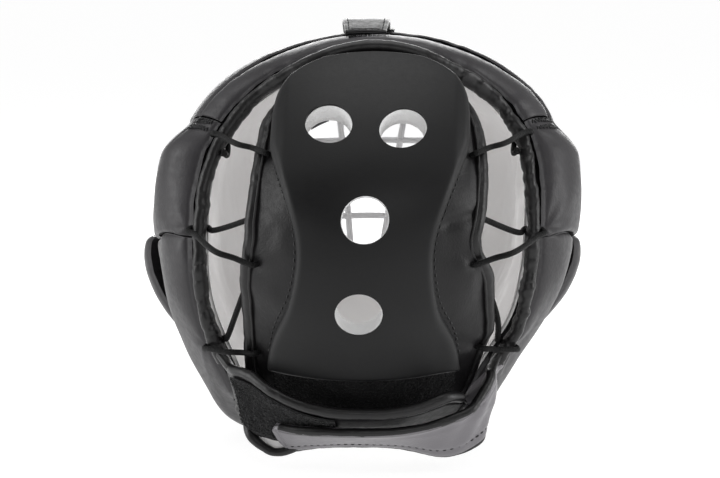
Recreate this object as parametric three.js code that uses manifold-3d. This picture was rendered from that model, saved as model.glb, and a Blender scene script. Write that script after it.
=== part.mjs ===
// Martial arts headgear with grille: a padded leather hood with a chin guard, a laced back panel
// and a wire face grille.
// Millimetres, +Z up, +Y towards the face, origin on the floor under the middle of the whole headgear.
import * as THREE from 'three';
import { mergeVertices } from 'three/addons/utils/BufferGeometryUtils.js';
import Module from 'manifold-3d';

const wasm = await Module();
wasm.setup();

// Driving dimensions
const GAP = 0.35;            // clearance between touching pieces
const SEAM_GAP = 0.3;        // half the clearance between neighbouring pads
const RIM_HEIGHT = 4;        // height of the rim binding the hood stands on
const EAR = 0.5;             // share of a half hoop that is dome, down to ear level
const FRONT_SEAM = 0.4;      // seams across the hood, as shares of its length
const REAR_SEAM = 0.8;
const CROWN_SEAM = 0.375;    // seams along the hood, as shares of a half hoop
const CHEEK_SEAM = 0.6;
const SEAM_RISE = 0.07;      // how far the side seams climb towards the rear edge
const TUCK_POWER = 1.7;      // how late the sides turn in towards the jaw
const RIM_RISE = { from: 0.7, high: 26 };    // where the rim leaves the floor, its height at the rear
// The rear opening is drawn forward at its two upper sides: how far and from where along the hood, and
// where it starts above and ends below on the half hoop
const OPENING = {
  left: { draw: 0.115, from: 0.7, over: 0.3, top: 0.11, topOver: 0.23, end: 0.68, endOver: 0.3 },
  right: { draw: 0.14, from: 0.4, over: 0.45, top: 0.12, topOver: 0.2, end: 0.58, endOver: 0.18 },
};
const INNER_EDGE = 3;        // padding inside the seam surface at a free edge
const INNER_FULL = 11;       // padding inside the seam surface elsewhere
const OUTER_EDGE = 3.5;      // padding outside the seam surface at a free edge

// Seams between pads: the share of a pad's height left in them, and the width of the rounding beside them
const DEEP_SEAM = { share: 0.55, round: 14 };
const SOFT_SEAM = { share: 0.45, round: 32 };
const FULL_SEAM = { share: 0.8, round: 14 };

const HOOD_LENGTH = 150;     // rough length of the hood from face edge to rear edge
const HOOP_LENGTH = 290;     // rough length of half a hoop
const LINING = 2;
const CHIN_TOP = 0.72;       // place on the half hoop where the chin guard's top meets the face edge
const CHIN_ANGLE = 65 * Math.PI / 180;
const CHIN_FRONT_TOP = 110;
const CHIN_FRONT_BOTTOM = 100;
const CHIN_THICK = 13;
const CHIN_HALF = 75;        // rough length of half the chin guard
const CHIN_FILL = 6;         // extra padding inside the middle of the chin guard
const CHIN_BINDING_END = 0.84;
const ROLL = 4;              // radius of a rolled edge
const WEB = 5.2;             // flat strip between the rear edge and its roll, where the eyelets are
const WEB_HALF = 1.8;
const WEB_GAP = 0.74;         // clearance between that strip and the pads
const REAR_ROLL_END = 6.6;   // reach of the rear edge's roll beyond that strip
const EYELET = 1.95;
const LACE = 1.4;
const PANEL_THICK = 3;
const PANEL_ROUND = 70;      // radius of the back panel across its width
const PAD_RAISE = 10;
const PAD_WALL = 3;          // upright part of the raised pad's side, below its rounded edge
const PAD_BEVEL = 5;
const ROW_LENGTH = 30;       // rough length between two rows of the back panel
const VENT = 12.6;
const VENT_SIDES = 16;
const PANEL_ROLL = 2.8;
const WIRE = 2;
const FRAME_WIRE = 2.4;
const FRAME_CLEAR = 0.8;     // play between the frame wire and the rolled edge it sits on
const FRAME_MIDDLE = 135;    // height that parts the frame's upper half from its lower half
const STRAP_TOP = 0.9;       // place on the half hoop where the neck straps start
const STRAP_THICK = 5;
const STRAP_WIDE = 32;
const STRAP_POWER = 2.6;     // squareness of the neck straps' plan
const STRAP_PLAN = { halfWidth: 68.5, y: -57, depth: 46 };
const STRAP_SIDE = { high: 38, lean: 0.3 };
const STRAP_BACK = { high: 23.5, lean: 1.08 };
const LOOP_THICK = 1.4;
const TAB_WIDE = 25.5;
const TAB_THICK = 2.4;
const TAB_SKIN = 1.6;

// Hoops of the hood, from the face edge to the rear edge. The seam surface passes through them.
const HOOPS = [
  { at: 0, full: 0.88, yTop: 100, zTop: 188, zEar: 135, yEar: 92, wEar: 66, yJaw: 78, wJaw: 46 },
  { at: 1 / 3, full: 0.88, yTop: 58, zTop: 213, zEar: 138, yEar: 58, wEar: 94, yJaw: 50, wJaw: 52 },
  { at: 2 / 3, full: 0.88, yTop: 2, zTop: 219, zEar: 140, yEar: 2, wEar: 99, yJaw: 6, wJaw: 56 },
  { at: 1, full: 1, yTop: -40, zTop: 226, zEar: 130, yEar: -50, wEar: 92, yJaw: -48, wJaw: 67 },
];

// Pads as stretches of the hood: along it (u) and down the half hoop (a), with their height over
// the seam surface.
const PADS = [
  { name: 'brow_pad', u0: 0, u1: FRONT_SEAM, a0: 0, a1: CROWN_SEAM, high: 13, lower: FULL_SEAM },
  {
    name: 'crown_front_pad', u0: FRONT_SEAM, u1: REAR_SEAM, a0: 0, a1: CROWN_SEAM, high: 13,
    lower: FULL_SEAM,
  },
  {
    name: 'crown_rear_pad', u0: REAR_SEAM, u1: 1, a0: 0, a1: CROWN_SEAM, high: 8, rearRound: 20,
    lower: FULL_SEAM,
  },
  {
    name: 'front_temple', u0: 0, u1: FRONT_SEAM, a0: CROWN_SEAM, a1: CHEEK_SEAM, high: 15,
    upper: SOFT_SEAM, lower: DEEP_SEAM,
  },
  {
    name: 'temple', u0: FRONT_SEAM, u1: 1, a0: CROWN_SEAM, a1: CHEEK_SEAM, high: 22.5, rearRound: 42,
    upper: SOFT_SEAM, lower: DEEP_SEAM,
  },
  { name: 'cheek', u0: 0, u1: FRONT_SEAM, a0: CHEEK_SEAM, a1: 1, high: 20, upper: DEEP_SEAM },
  { name: 'jaw', u0: FRONT_SEAM, u1: 1, a0: CHEEK_SEAM, a1: 1, high: 20, rearRound: 42, upper: DEEP_SEAM },
];
const FACE_ROUND = 25;
const RIM_ROUND = 26;
const CHEEKBONE = { u: 0.27, a: 0.67, wideU: 0.18, wideA: 0.14, high: 24 };

// Rows of the back panel from its lower end to its top: middle line, half width of the raised pad
// and of the flange.
const PANEL = [
  { at: 0, y: -84, z: 40, pad: 48, flange: 58 },
  { at: 1, y: -97, z: 66, pad: 46, flange: 61.5 },
  { at: 2, y: -112, z: 95, pad: 37, flange: 65.5 },
  { at: 3, y: -118, z: 124, pad: 34, flange: 62.5 },
  { at: 4, y: -114, z: 152, pad: 39.5, flange: 62.5 },
  { at: 5, y: -94, z: 182, pad: 48.5, flange: 59.5 },
  { at: 6, y: -70, z: 206, pad: 49, flange: 55 },
  { at: 7, y: -49, z: 220, pad: 20, flange: 34 },
];
const BINDING_TOP = 6.6;
const EYELET_INSET = 6.4;    // from the flange's edge to its eyelets
const PAD_BOTTOM = 0.62;
const PAD_TOP = 6.86;
const VENTS = [
  { x: -19, row: 5.1 },
  { x: 20.4, row: 5 },
  { x: 0.6, row: 3.6 },
  { x: -2.5, row: 2 },
];
const EYELETS = [
  { shell: 0.405, row: 5.1 },
  { shell: 0.575, row: 2.75 },
  { shell: 0.857, row: 0.62 },
];

// Heights of the crown's fuzzy strip and tab over the seam surface, from front to rear
const CROWN_LOOP = [
  { at: 0.7, high: 13.8 },
  { at: 0.78, high: 11.6 },
  { at: 0.86, high: 9.1 },
  { at: 0.96, high: 7.2 },
];
const CROWN_TAB = [
  { at: 0.43, high: 13.6 },
  { at: 0.55, high: 17.6 },
  { at: 0.66, high: 19 },
  { at: 0.77, high: 15.6 },
  { at: 0.87, high: 11 },
];

// Grille bars: where the uprights leave the frame at the top and the foot, and the heights of the crossbars
const UPRIGHTS = [
  { top: 20, foot: 9, bow: 9 },
  { top: 45, foot: 36, bow: 8 },
];
const CROSSBARS = [113, 136.5, 160];

// The way a grille tab runs from the pad over the rolled edge and round the frame wire
const TAB_TURN = [
  { away: -15, high: 14.8 },
  { away: -6, high: 11.2 },
  { away: 2, high: 6.4 },
  { away: 9, high: 4.6 },
  { away: 14.6, high: 2.6 },
  { away: 15.8, high: -1.6 },
  { away: 13.2, high: -5 },
  { away: 10.2, high: -5.2 },
];

const BLACK_LEATHER = { color: 0x242326, roughness: 0.45, metalness: 0 };
const BLACK_EDGE = { color: 0x1c1b1d, roughness: 0.5, metalness: 0 };
const MATTE_FOAM = { color: 0x202022, roughness: 0.65, metalness: 0 };
const WHITE_LINING = { color: 0xd8d4d2, roughness: 0.7, metalness: 0 };
const FUZZY = { color: 0x141415, roughness: 0.95, metalness: 0 };
const ELASTIC = { color: 0x1a1a1b, roughness: 0.8, metalness: 0 };
const PALE_WIRE = { color: 0xc9c9cb, roughness: 0.35, metalness: 0.8 };

const headgear = new THREE.Group();

// Small curves
const clamp01 = (k) => Math.min(1, Math.max(0, k));
const smooth = (k) => clamp01(k) ** 2 * (3 - 2 * clamp01(k));
const shoulder = (distance, width) => Math.sqrt(1 - (1 - clamp01(distance / width)) ** 2);

// A smooth value between the rows of a table
function along(rows, column, at) {
  const last = rows.length - 1;
  let i = 0;
  while (i < last - 1 && at > rows[i + 1].at) i += 1;
  const slope = (j) => {
    const before = rows[Math.max(0, j - 1)];
    const after = rows[Math.min(last, j + 1)];
    return (after[column] - before[column]) / (after.at - before.at);
  };
  const span = rows[i + 1].at - rows[i].at;
  const k = (at - rows[i].at) / span;
  const k2 = k * k;
  const k3 = k2 * k;
  return (2 * k3 - 3 * k2 + 1) * rows[i][column] + (k3 - 2 * k2 + k) * span * slope(i)
    + (3 * k2 - 2 * k3) * rows[i + 1][column] + (k3 - k2) * span * slope(i + 1);
}

// Closed bodies from points: a body whose faces point in is turned out
function closedGeometry(points, triangles) {
  let volume = 0;
  for (const [a, b, c] of triangles) {
    volume += points[a].dot(new THREE.Vector3().crossVectors(points[b], points[c]));
  }
  const order = volume < 0 ? triangles.map(([a, b, c]) => [a, c, b]) : triangles;
  const geometry = new THREE.BufferGeometry();
  geometry.setAttribute('position', new THREE.Float32BufferAttribute(points.flatMap((p) => p.toArray()), 3));
  geometry.setIndex(order.flat());
  return geometry;
}

// A sheet of any thickness between two grids of points
function slab(outer, inner) {
  const rows = outer.length;
  const columns = outer[0].length;
  const points = [...outer.flat(), ...inner.flat()];
  const top = (i, j) => i * columns + j;
  const under = (i, j) => rows * columns + i * columns + j;
  const triangles = [];
  const wall = (a, b, c, d) => triangles.push([a, b, c], [a, c, d]);
  for (let i = 0; i < rows - 1; i += 1) {
    for (let j = 0; j < columns - 1; j += 1) {
      triangles.push([top(i, j), top(i + 1, j), top(i + 1, j + 1)]);
      triangles.push([top(i, j), top(i + 1, j + 1), top(i, j + 1)]);
      triangles.push([under(i, j), under(i + 1, j + 1), under(i + 1, j)]);
      triangles.push([under(i, j), under(i, j + 1), under(i + 1, j + 1)]);
    }
    wall(top(i, 0), under(i, 0), under(i + 1, 0), top(i + 1, 0));
    wall(top(i, columns - 1), top(i + 1, columns - 1), under(i + 1, columns - 1), under(i, columns - 1));
  }
  for (let j = 0; j < columns - 1; j += 1) {
    wall(top(0, j), top(0, j + 1), under(0, j + 1), under(0, j));
    wall(top(rows - 1, j), under(rows - 1, j), under(rows - 1, j + 1), top(rows - 1, j + 1));
  }
  return closedGeometry(points, triangles);
}

// A body through a row of rings with the same number of points, open with two ends or closed on itself
function loft(rings, ringed = false) {
  const sides = rings[0].length;
  const points = rings.flat();
  const triangles = [];
  const count = ringed ? rings.length : rings.length - 1;
  for (let i = 0; i < count; i += 1) {
    const next = (i + 1) % rings.length;
    for (let j = 0; j < sides; j += 1) {
      const k = (j + 1) % sides;
      triangles.push([i * sides + j, next * sides + j, next * sides + k]);
      triangles.push([i * sides + j, next * sides + k, i * sides + k]);
    }
  }
  if (!ringed) {
    const end = (rings.length - 1) * sides;
    for (let j = 1; j < sides - 1; j += 1) {
      triangles.push([0, j, j + 1], [end, end + j + 1, end + j]);
    }
  }
  return closedGeometry(points, triangles);
}

function solidOf(geometry) {
  const merged = mergeVertices(geometry, 1e-4);
  return new wasm.Manifold(new wasm.Mesh({
    numProp: 3,
    vertProperties: Float32Array.from(merged.attributes.position.array),
    triVerts: Uint32Array.from(merged.index.array),
  }));
}

function geometryOf(solid) {
  const mesh = solid.getMesh();
  const geometry = new THREE.BufferGeometry();
  geometry.setAttribute('position', new THREE.Float32BufferAttribute(mesh.vertProperties, 3));
  geometry.setIndex([...mesh.triVerts]);
  return geometry;
}

function add(name, geometry, look) {
  geometry.computeVertexNormals();
  const mesh = new THREE.Mesh(geometry, new THREE.MeshStandardMaterial(look));
  mesh.name = name;
  headgear.add(mesh);
}

const vector = (x, y, z) => new THREE.Vector3(x, y, z);
const moved = (point, ...moves) => moves.reduce((p, move) => p.addScaledVector(...move), point.clone());

// A round bar through given points, with rings square to it
function bar(points, radius, sides, ringed = false) {
  const last = points.length - 1;
  const wrap = (i) => (i + points.length) % points.length;
  const near = (i) => points[ringed ? wrap(i) : Math.min(last, Math.max(0, i))];
  let side = null;
  const rings = points.map((p, i) => {
    const way = near(i + 1).clone().sub(near(i - 1)).normalize();
    if (!side) side = Math.abs(way.z) < 0.9 ? vector(0, 0, 1) : vector(0, 1, 0);
    side = side.clone().addScaledVector(way, -side.dot(way)).normalize();
    const other = new THREE.Vector3().crossVectors(way, side);
    return Array.from({ length: sides }, (_, j) => {
      const turn = 2 * Math.PI * j / sides;
      return moved(p, [side, radius * Math.cos(turn)], [other, radius * Math.sin(turn)]);
    });
  });
  return loft(rings, ringed);
}

// A cylinder from point to point, for drilling
function drill(from, to, radius, sides) {
  return solidOf(bar([from, to], radius, sides));
}

// The hood's seam surface
const HOOD_FOOT = RIM_HEIGHT + GAP;

function drawnForward(u, t) {
  const a = Math.abs(t);
  const { draw, from, over, top, topOver, end, endOver } = t < 0 ? OPENING.left : OPENING.right;
  return u - draw * smooth((a - top) / topOver) * smooth((end - a) / endOver) * smooth((u - from) / over);
}

function hood(reach, t) {
  const u = drawnForward(reach, t);
  const a = Math.abs(t);
  const place = a - SEAM_RISE * smooth(2 * u - 1) * Math.sin(Math.PI * a);
  const row = (column) => along(HOOPS, column, u);
  const side = t < 0 ? -1 : 1;
  if (place <= EAR) {
    const turn = place / EAR * Math.PI / 2;
    const lift = Math.max(0, Math.cos(turn)) ** row('full');
    return vector(
      side * row('wEar') * Math.sin(turn) ** row('full'),
      row('yEar') + (row('yTop') - row('yEar')) * lift,
      row('zEar') + (row('zTop') - row('zEar')) * lift,
    );
  }
  const k = (place - EAR) / (1 - EAR);
  const tuck = smooth(k ** TUCK_POWER);
  const foot = HOOD_FOOT + RIM_RISE.high * smooth((u - RIM_RISE.from) / (1 - RIM_RISE.from));
  return vector(
    side * (row('wEar') + (row('wJaw') - row('wEar')) * tuck),
    row('yEar') + (row('yJaw') - row('yEar')) * smooth(k),
    row('zEar') + (foot - row('zEar')) * k,
  );
}

// Directions on a surface given by two numbers: its outward normal and the way each number grows
const HEAD_MIDDLE = vector(0, 15, 110);
function frameOn(surface, u, t, least, most) {
  const step = 0.004;
  const u0 = Math.max(least[0], u - step);
  const u1 = Math.min(most[0], u + step);
  const t0 = Math.max(least[1], t - step);
  const t1 = Math.min(most[1], t + step);
  const p = surface(u, t);
  const alongU = surface(u1, t).sub(surface(u0, t)).normalize();
  const alongT = surface(u, t1).sub(surface(u, t0)).normalize();
  const n = new THREE.Vector3().crossVectors(alongU, alongT).normalize();
  if (n.dot(p.clone().sub(HEAD_MIDDLE)) < 0) n.negate();
  return { p, n, alongU, alongT };
}
const onHood = (u, t) => frameOn(hood, u, t, [0, -1], [1, 1]);

const innerDepth = (u, a) => INNER_EDGE + (INNER_FULL - INNER_EDGE) * (1 - (2 * u - 1) ** 4) * (1 - a ** 6);

function outerHeight(pad, u, a) {
  const bone = CHEEKBONE.high * Math.exp(-(((u - CHEEKBONE.u) / CHEEKBONE.wideU) ** 2))
    * Math.exp(-(((a - CHEEKBONE.a) / CHEEKBONE.wideA) ** 2));
  const high = pad.high + (pad.name === 'cheek' ? bone : 0);
  const seam = (distance, kind) => kind.share + (1 - kind.share) * shoulder(distance, kind.round);
  const edge = (distance, width) => OUTER_EDGE / high + (1 - OUTER_EDGE / high) * shoulder(distance, width);
  let share = 1;
  const front = u * HOOD_LENGTH;
  if (pad.u0 === 0) share *= a > CHIN_TOP ? seam(front, DEEP_SEAM) : edge(front, FACE_ROUND);
  else share *= seam((u - pad.u0) * HOOD_LENGTH, DEEP_SEAM);
  if (pad.u1 === 1) share *= edge((1 - u) * HOOD_LENGTH, pad.rearRound);
  else share *= seam((pad.u1 - u) * HOOD_LENGTH, DEEP_SEAM);
  if (pad.a0 > 0) share *= seam((a - pad.a0) * HOOP_LENGTH, pad.upper);
  if (pad.a1 === 1) share *= edge((1 - a) * HOOP_LENGTH, RIM_ROUND);
  else share *= seam((pad.a1 - a) * HOOP_LENGTH, pad.lower);
  return Math.max(OUTER_EDGE, high * share);
}

// Grid lines that all pads and the lining share, closer together beside the seams
function lines(stops, counts, ease) {
  const made = [stops[0]];
  counts.forEach((count, i) => {
    for (let k = 1; k <= count; k += 1) {
      made.push(stops[i] + (stops[i + 1] - stops[i]) * ease(k / count, i));
    }
  });
  return made;
}
const bothEnds = (k) => 0.5 - 0.5 * Math.cos(Math.PI * k);
const farEnd = (k) => Math.sin(Math.PI * k / 2);
const U_LINES = lines([0, FRONT_SEAM, REAR_SEAM, 1], [4, 3, 3], bothEnds);
const fromTop = (k, i) => (i === 0 ? farEnd(k) : bothEnds(k));
const A_LINES = lines([0, CROWN_SEAM, CHEEK_SEAM, CHIN_TOP, 1], [4, 3, 3, 3], fromTop);
const within = (values, low, high) => values.filter((v) => v > low - 1e-9 && v < high + 1e-9);

// Moves the first and last of a row of lines inwards, to leave a seam's clearance
function inset(values, length, first, last) {
  const made = [...values];
  if (first) made[0] += SEAM_GAP / length;
  if (last) made[made.length - 1] -= SEAM_GAP / length;
  return made;
}

function padGeometry(pad, sides) {
  const us = inset(within(U_LINES, pad.u0, pad.u1), HOOD_LENGTH * 0.75, true, pad.u1 < 1);
  const as = inset(within(A_LINES, pad.a0, pad.a1), HOOP_LENGTH * 0.8, pad.a0 > 0, pad.a1 < 1);
  const mirrored = [...as].reverse().map((a) => -a);
  const both = [...(sides > 0 ? [] : mirrored), ...(sides < 0 ? [] : as)];
  const ts = both.filter((t, i) => i === 0 || t !== both[i - 1]);
  const grid = (shift) => us.map((u) => ts.map((t) => {
    const { p, n } = onHood(u, t);
    return moved(p, [n, shift(u, Math.abs(t))]);
  }));
  return slab(grid((u, a) => outerHeight(pad, u, a)), grid((u, a) => -innerDepth(u, a)));
}

for (const pad of PADS) {
  if (pad.a0 === 0) {
    add(pad.name, padGeometry(pad, 0), BLACK_LEATHER);
  } else {
    add(`${pad.name}_left`, padGeometry(pad, -1), BLACK_LEATHER);
    add(`${pad.name}_right`, padGeometry(pad, 1), BLACK_LEATHER);
  }
}

// Chin guard: level arcs between the two ends of the face edge
function chin(s, a) {
  const end = hood(0, a);
  const turn = s * CHIN_ANGLE;
  const front = CHIN_FRONT_BOTTOM + (CHIN_FRONT_TOP - CHIN_FRONT_BOTTOM) * smooth((1 - a) / (1 - CHIN_TOP));
  const reach = (Math.cos(turn) - Math.cos(CHIN_ANGLE)) / (1 - Math.cos(CHIN_ANGLE));
  return vector(end.x * Math.sin(turn) / Math.sin(CHIN_ANGLE), end.y + (front - end.y) * reach, end.z);
}
function onChin(s, a) {
  const made = frameOn(chin, s, a, [-1, CHIN_TOP], [1, 1]);
  const seam = Math.abs(s) ** 6;
  made.n.lerp(onHood(0, Math.sign(s) * a).n, seam).normalize();
  return made;
}
const S_LINES = lines([-1, 0, 1], [6, 6], (k, i) => (i === 0 ? 1 - farEnd(1 - k) : farEnd(k)));
const chinDepth = (a) => INNER_EDGE + CHIN_FILL * Math.sin(Math.PI * (1 - a) / (1 - CHIN_TOP)) ** 0.7;
function chinHeight(s, a) {
  const distance = (1 - Math.abs(s)) * CHIN_HALF;
  const ends = DEEP_SEAM.share + (1 - DEEP_SEAM.share) * shoulder(distance, DEEP_SEAM.round);
  const top = shoulder((a - CHIN_TOP) * HOOP_LENGTH, FACE_ROUND);
  const foot = shoulder((1 - a) * HOOP_LENGTH, RIM_ROUND);
  return OUTER_EDGE + (CHIN_THICK - OUTER_EDGE) * ends * top * foot;
}
function chinGrid(shift, ends) {
  const as = within(A_LINES, CHIN_TOP, 1);
  return S_LINES.map((s) => s * ends).map((s) => as.map((a) => {
    const { p, n } = onChin(s, a);
    return moved(p, [n, shift(s, a)]);
  }));
}
const CHIN_END = 1 - 2.6 * SEAM_GAP / CHIN_HALF;
add('chin_guard', slab(
  chinGrid(chinHeight, CHIN_END),
  chinGrid((s, a) => -chinDepth(a), CHIN_END),
), BLACK_LEATHER);

// White lining inside the hood and the chin guard
function liningGrid(depth) {
  const ts = [...A_LINES.slice(1).reverse().map((a) => -a), ...A_LINES];
  return U_LINES.map((u) => ts.map((t) => {
    const { p, n } = onHood(u, t);
    return moved(p, [n, -innerDepth(u, Math.abs(t)) - depth]);
  }));
}
add('hood_lining', slab(liningGrid(GAP), liningGrid(GAP + LINING)), WHITE_LINING);
const chinLiningGrid = (depth) => chinGrid((s, a) => -chinDepth(a) - depth, 0.86);
add('chin_lining', slab(chinLiningGrid(2 * GAP), chinLiningGrid(2 * GAP + LINING)), WHITE_LINING);

// Rolled edges: a section given by steps away from the edge and across it, carried along the edge
const ROUND_EDGE = Array.from({ length: 8 }, (_, j) => {
  const turn = Math.PI * (2 * j + 1) / 8;
  return { away: GAP + ROLL - ROLL * Math.cos(turn), across: ROLL * Math.sin(turn) };
});
const WEBBED_EDGE = [
  { away: WEB_GAP, across: WEB_HALF },
  { away: WEB, across: WEB_HALF },
  { away: WEB + 1.2, across: ROLL * 0.9 },
  { away: WEB + 4.4, across: ROLL },
  { away: WEB + REAR_ROLL_END, across: ROLL * 0.4 },
  { away: WEB + REAR_ROLL_END, across: -ROLL * 0.4 },
  { away: WEB + 4.4, across: -ROLL },
  { away: WEB + 1.2, across: -ROLL * 0.9 },
  { away: WEB, across: -WEB_HALF },
  { away: WEB_GAP, across: -WEB_HALF },
];
const edgeRing = (section, { p, n }, away) => section.map((c) => moved(p, [away, c.away], [n, c.across]));

const bothSides = (values) => [...values.slice(1).reverse().map((a) => -a), ...values];
const rearEdge = (t) => onHood(1, t);
const faceEdge = (t) => {
  const made = onHood(0, t);
  return { ...made, away: made.alongU.clone().negate() };
};
const chinEdge = (s) => {
  const made = onChin(s, CHIN_TOP);
  return { ...made, away: made.alongT.clone().negate() };
};
const eyeletPlace = (a, side) => {
  const at = rearEdge(side * a);
  return { ...at, eye: moved(at.p, [at.alongU, (GAP + WEB) / 2]) };
};

const rearStops = [...within(A_LINES, 0, STRAP_TOP - 0.02), STRAP_TOP];
let rearBinding = solidOf(loft(bothSides(rearStops).map((t) => {
  const at = rearEdge(t);
  return edgeRing(WEBBED_EDGE, at, at.alongU);
})));
for (const side of [-1, 1]) {
  for (const { shell } of EYELETS) {
    const { eye, n } = eyeletPlace(shell, side);
    rearBinding = rearBinding.subtract(drill(moved(eye, [n, -5]), moved(eye, [n, 5]), EYELET, 7));
  }
}
add('rear_binding', geometryOf(rearBinding), BLACK_EDGE);

const faceStops = [...within(A_LINES, 0, CHIN_TOP - 0.02), CHIN_TOP - 0.012];
add('face_binding', loft(bothSides(faceStops).map((t) => {
  const at = faceEdge(t);
  return edgeRing(ROUND_EDGE, at, at.away);
})), BLACK_EDGE);
add('chin_binding', loft(S_LINES.map((s) => {
  const at = chinEdge(s * CHIN_BINDING_END);
  return edgeRing(ROUND_EDGE, at, at.away);
})), BLACK_EDGE);

// Rim binding under the hood and the chin guard, flat where it stands and rising towards the rear edge
const RIM_SECTION = [
  { out: -4.6, up: 0 },
  { out: 4.6, up: 0 },
  { out: 5.6, up: 1.6 },
  { out: 4.2, up: RIM_HEIGHT },
  { out: -4.2, up: RIM_HEIGHT },
  { out: -5.6, up: 1.6 },
];
const rimPath = [
  ...[...U_LINES].reverse().map((u) => hood(u, -1)),
  ...S_LINES.slice(1, -1).map((s) => chin(s, 1)),
  ...U_LINES.map((u) => hood(u, 1)),
];
add('rim_binding', loft(rimPath.map((p, i) => {
  const before = rimPath[Math.max(0, i - 1)];
  const after = rimPath[Math.min(rimPath.length - 1, i + 1)];
  const out = vector(before.y - after.y, after.x - before.x, 0).normalize();
  return RIM_SECTION.map((c) => moved(p, [out, c.out], [vector(0, 0, 1), c.up - RIM_HEIGHT - GAP]));
})), BLACK_EDGE);

// Back panel: rows of the table bent round the head
function panelFrame(row, x) {
  const middle = (at) => vector(0, along(PANEL, 'y', at), along(PANEL, 'z', at));
  const here = middle(row);
  const rise = middle(row + 0.01).sub(here).normalize();
  const back = vector(0, -rise.z, rise.y);
  const p = moved(here, [vector(1, 0, 0), x], [back, -(x * x) / (2 * PANEL_ROUND)]);
  const across = moved(vector(1, 0, 0), [back, -x / PANEL_ROUND]).normalize();
  const n = moved(back, [vector(1, 0, 0), x / PANEL_ROUND]).normalize();
  return { p, n, rise, across };
}
function panelGrid(rows, shares, half, high) {
  return rows.map((row) => shares.map((share) => {
    const { p, n } = panelFrame(row, share * half(row));
    return moved(p, [n, high(row, share)]);
  }));
}
const steps = (from, to, count) => Array.from(
  { length: count + 1 },
  (_, i) => from + (to - from) * i / count,
);
const flangeHalf = (row) => along(PANEL, 'flange', row);
const padHalf = (row) => along(PANEL, 'pad', row);
const ventDrill = ({ x, row }) => {
  const { p, n } = panelFrame(row, x);
  return drill(moved(p, [n, -8]), moved(p, [n, PAD_RAISE + 8]), VENT, VENT_SIDES);
};

const FLANGE_SHARES = [-1, -0.8, -0.4, 0, 0.4, 0.8, 1];
const PANEL_ROWS = steps(0, 7, 12);
let backPanel = solidOf(slab(
  panelGrid(PANEL_ROWS, FLANGE_SHARES, flangeHalf, () => PANEL_THICK / 2),
  panelGrid(PANEL_ROWS, FLANGE_SHARES, flangeHalf, () => -PANEL_THICK / 2),
));
const panelEyelet = (row, side) => panelFrame(row, side * (flangeHalf(row) - EYELET_INSET));
for (const vent of VENTS) backPanel = backPanel.subtract(ventDrill(vent));
for (const side of [-1, 1]) {
  for (const { row } of EYELETS) {
    const { p, n } = panelEyelet(row, side);
    backPanel = backPanel.subtract(drill(moved(p, [n, -5]), moved(p, [n, 5]), EYELET, 7));
  }
}
add('back_panel', geometryOf(backPanel), BLACK_LEATHER);

const PAD_SHARES = [-1, -0.92, -0.46, 0, 0.46, 0.92, 1];
const PAD_ROWS = [PAD_BOTTOM, PAD_BOTTOM + 0.08, ...steps(1, 6.4, 11), PAD_TOP - 0.12, PAD_TOP];
function padHeight(row, share) {
  const side = shoulder((1 - Math.abs(share)) * padHalf(row), PAD_BEVEL);
  const top = shoulder((PAD_TOP - row) * ROW_LENGTH, PAD_BEVEL);
  return PANEL_THICK / 2 + PAD_WALL + (PAD_RAISE - PAD_WALL) * Math.min(side, top);
}
const PAD_UNDER = PANEL_THICK / 2 + 1.1;
let backPad = solidOf(slab(
  panelGrid(PAD_ROWS, PAD_SHARES, padHalf, padHeight),
  panelGrid(PAD_ROWS, PAD_SHARES, padHalf, () => PAD_UNDER),
));
for (const vent of VENTS) backPad = backPad.subtract(ventDrill(vent));
add('back_pad', geometryOf(backPad), MATTE_FOAM);

for (const [name, side] of [['left', -1], ['right', 1]]) {
  add(`back_binding_${name}`, loft(PANEL_ROWS.filter((row) => row < BINDING_TOP).map((row) => {
    const { p, n, across } = panelFrame(row, side * flangeHalf(row));
    return Array.from({ length: 6 }, (_, j) => {
      const turn = Math.PI * (2 * j + 1) / 6;
      const away = side * (GAP + PANEL_ROLL - PANEL_ROLL * Math.cos(turn));
      return moved(p, [across, away], [n, PANEL_ROLL * Math.sin(turn)]);
    });
  })), BLACK_EDGE);
}

// Fuzzy strip on the panel below the raised pad
const loopRows = steps(0.06, PAD_BOTTOM - 0.03, 3);
const loopShares = steps(-1, 1, 6);
const loopHalf = () => 47;
add('back_loop', slab(
  panelGrid(loopRows, loopShares, loopHalf, () => PANEL_THICK / 2 + 2 * GAP + LOOP_THICK),
  panelGrid(loopRows, loopShares, loopHalf, () => PANEL_THICK / 2 + 2 * GAP),
), FUZZY);

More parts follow.
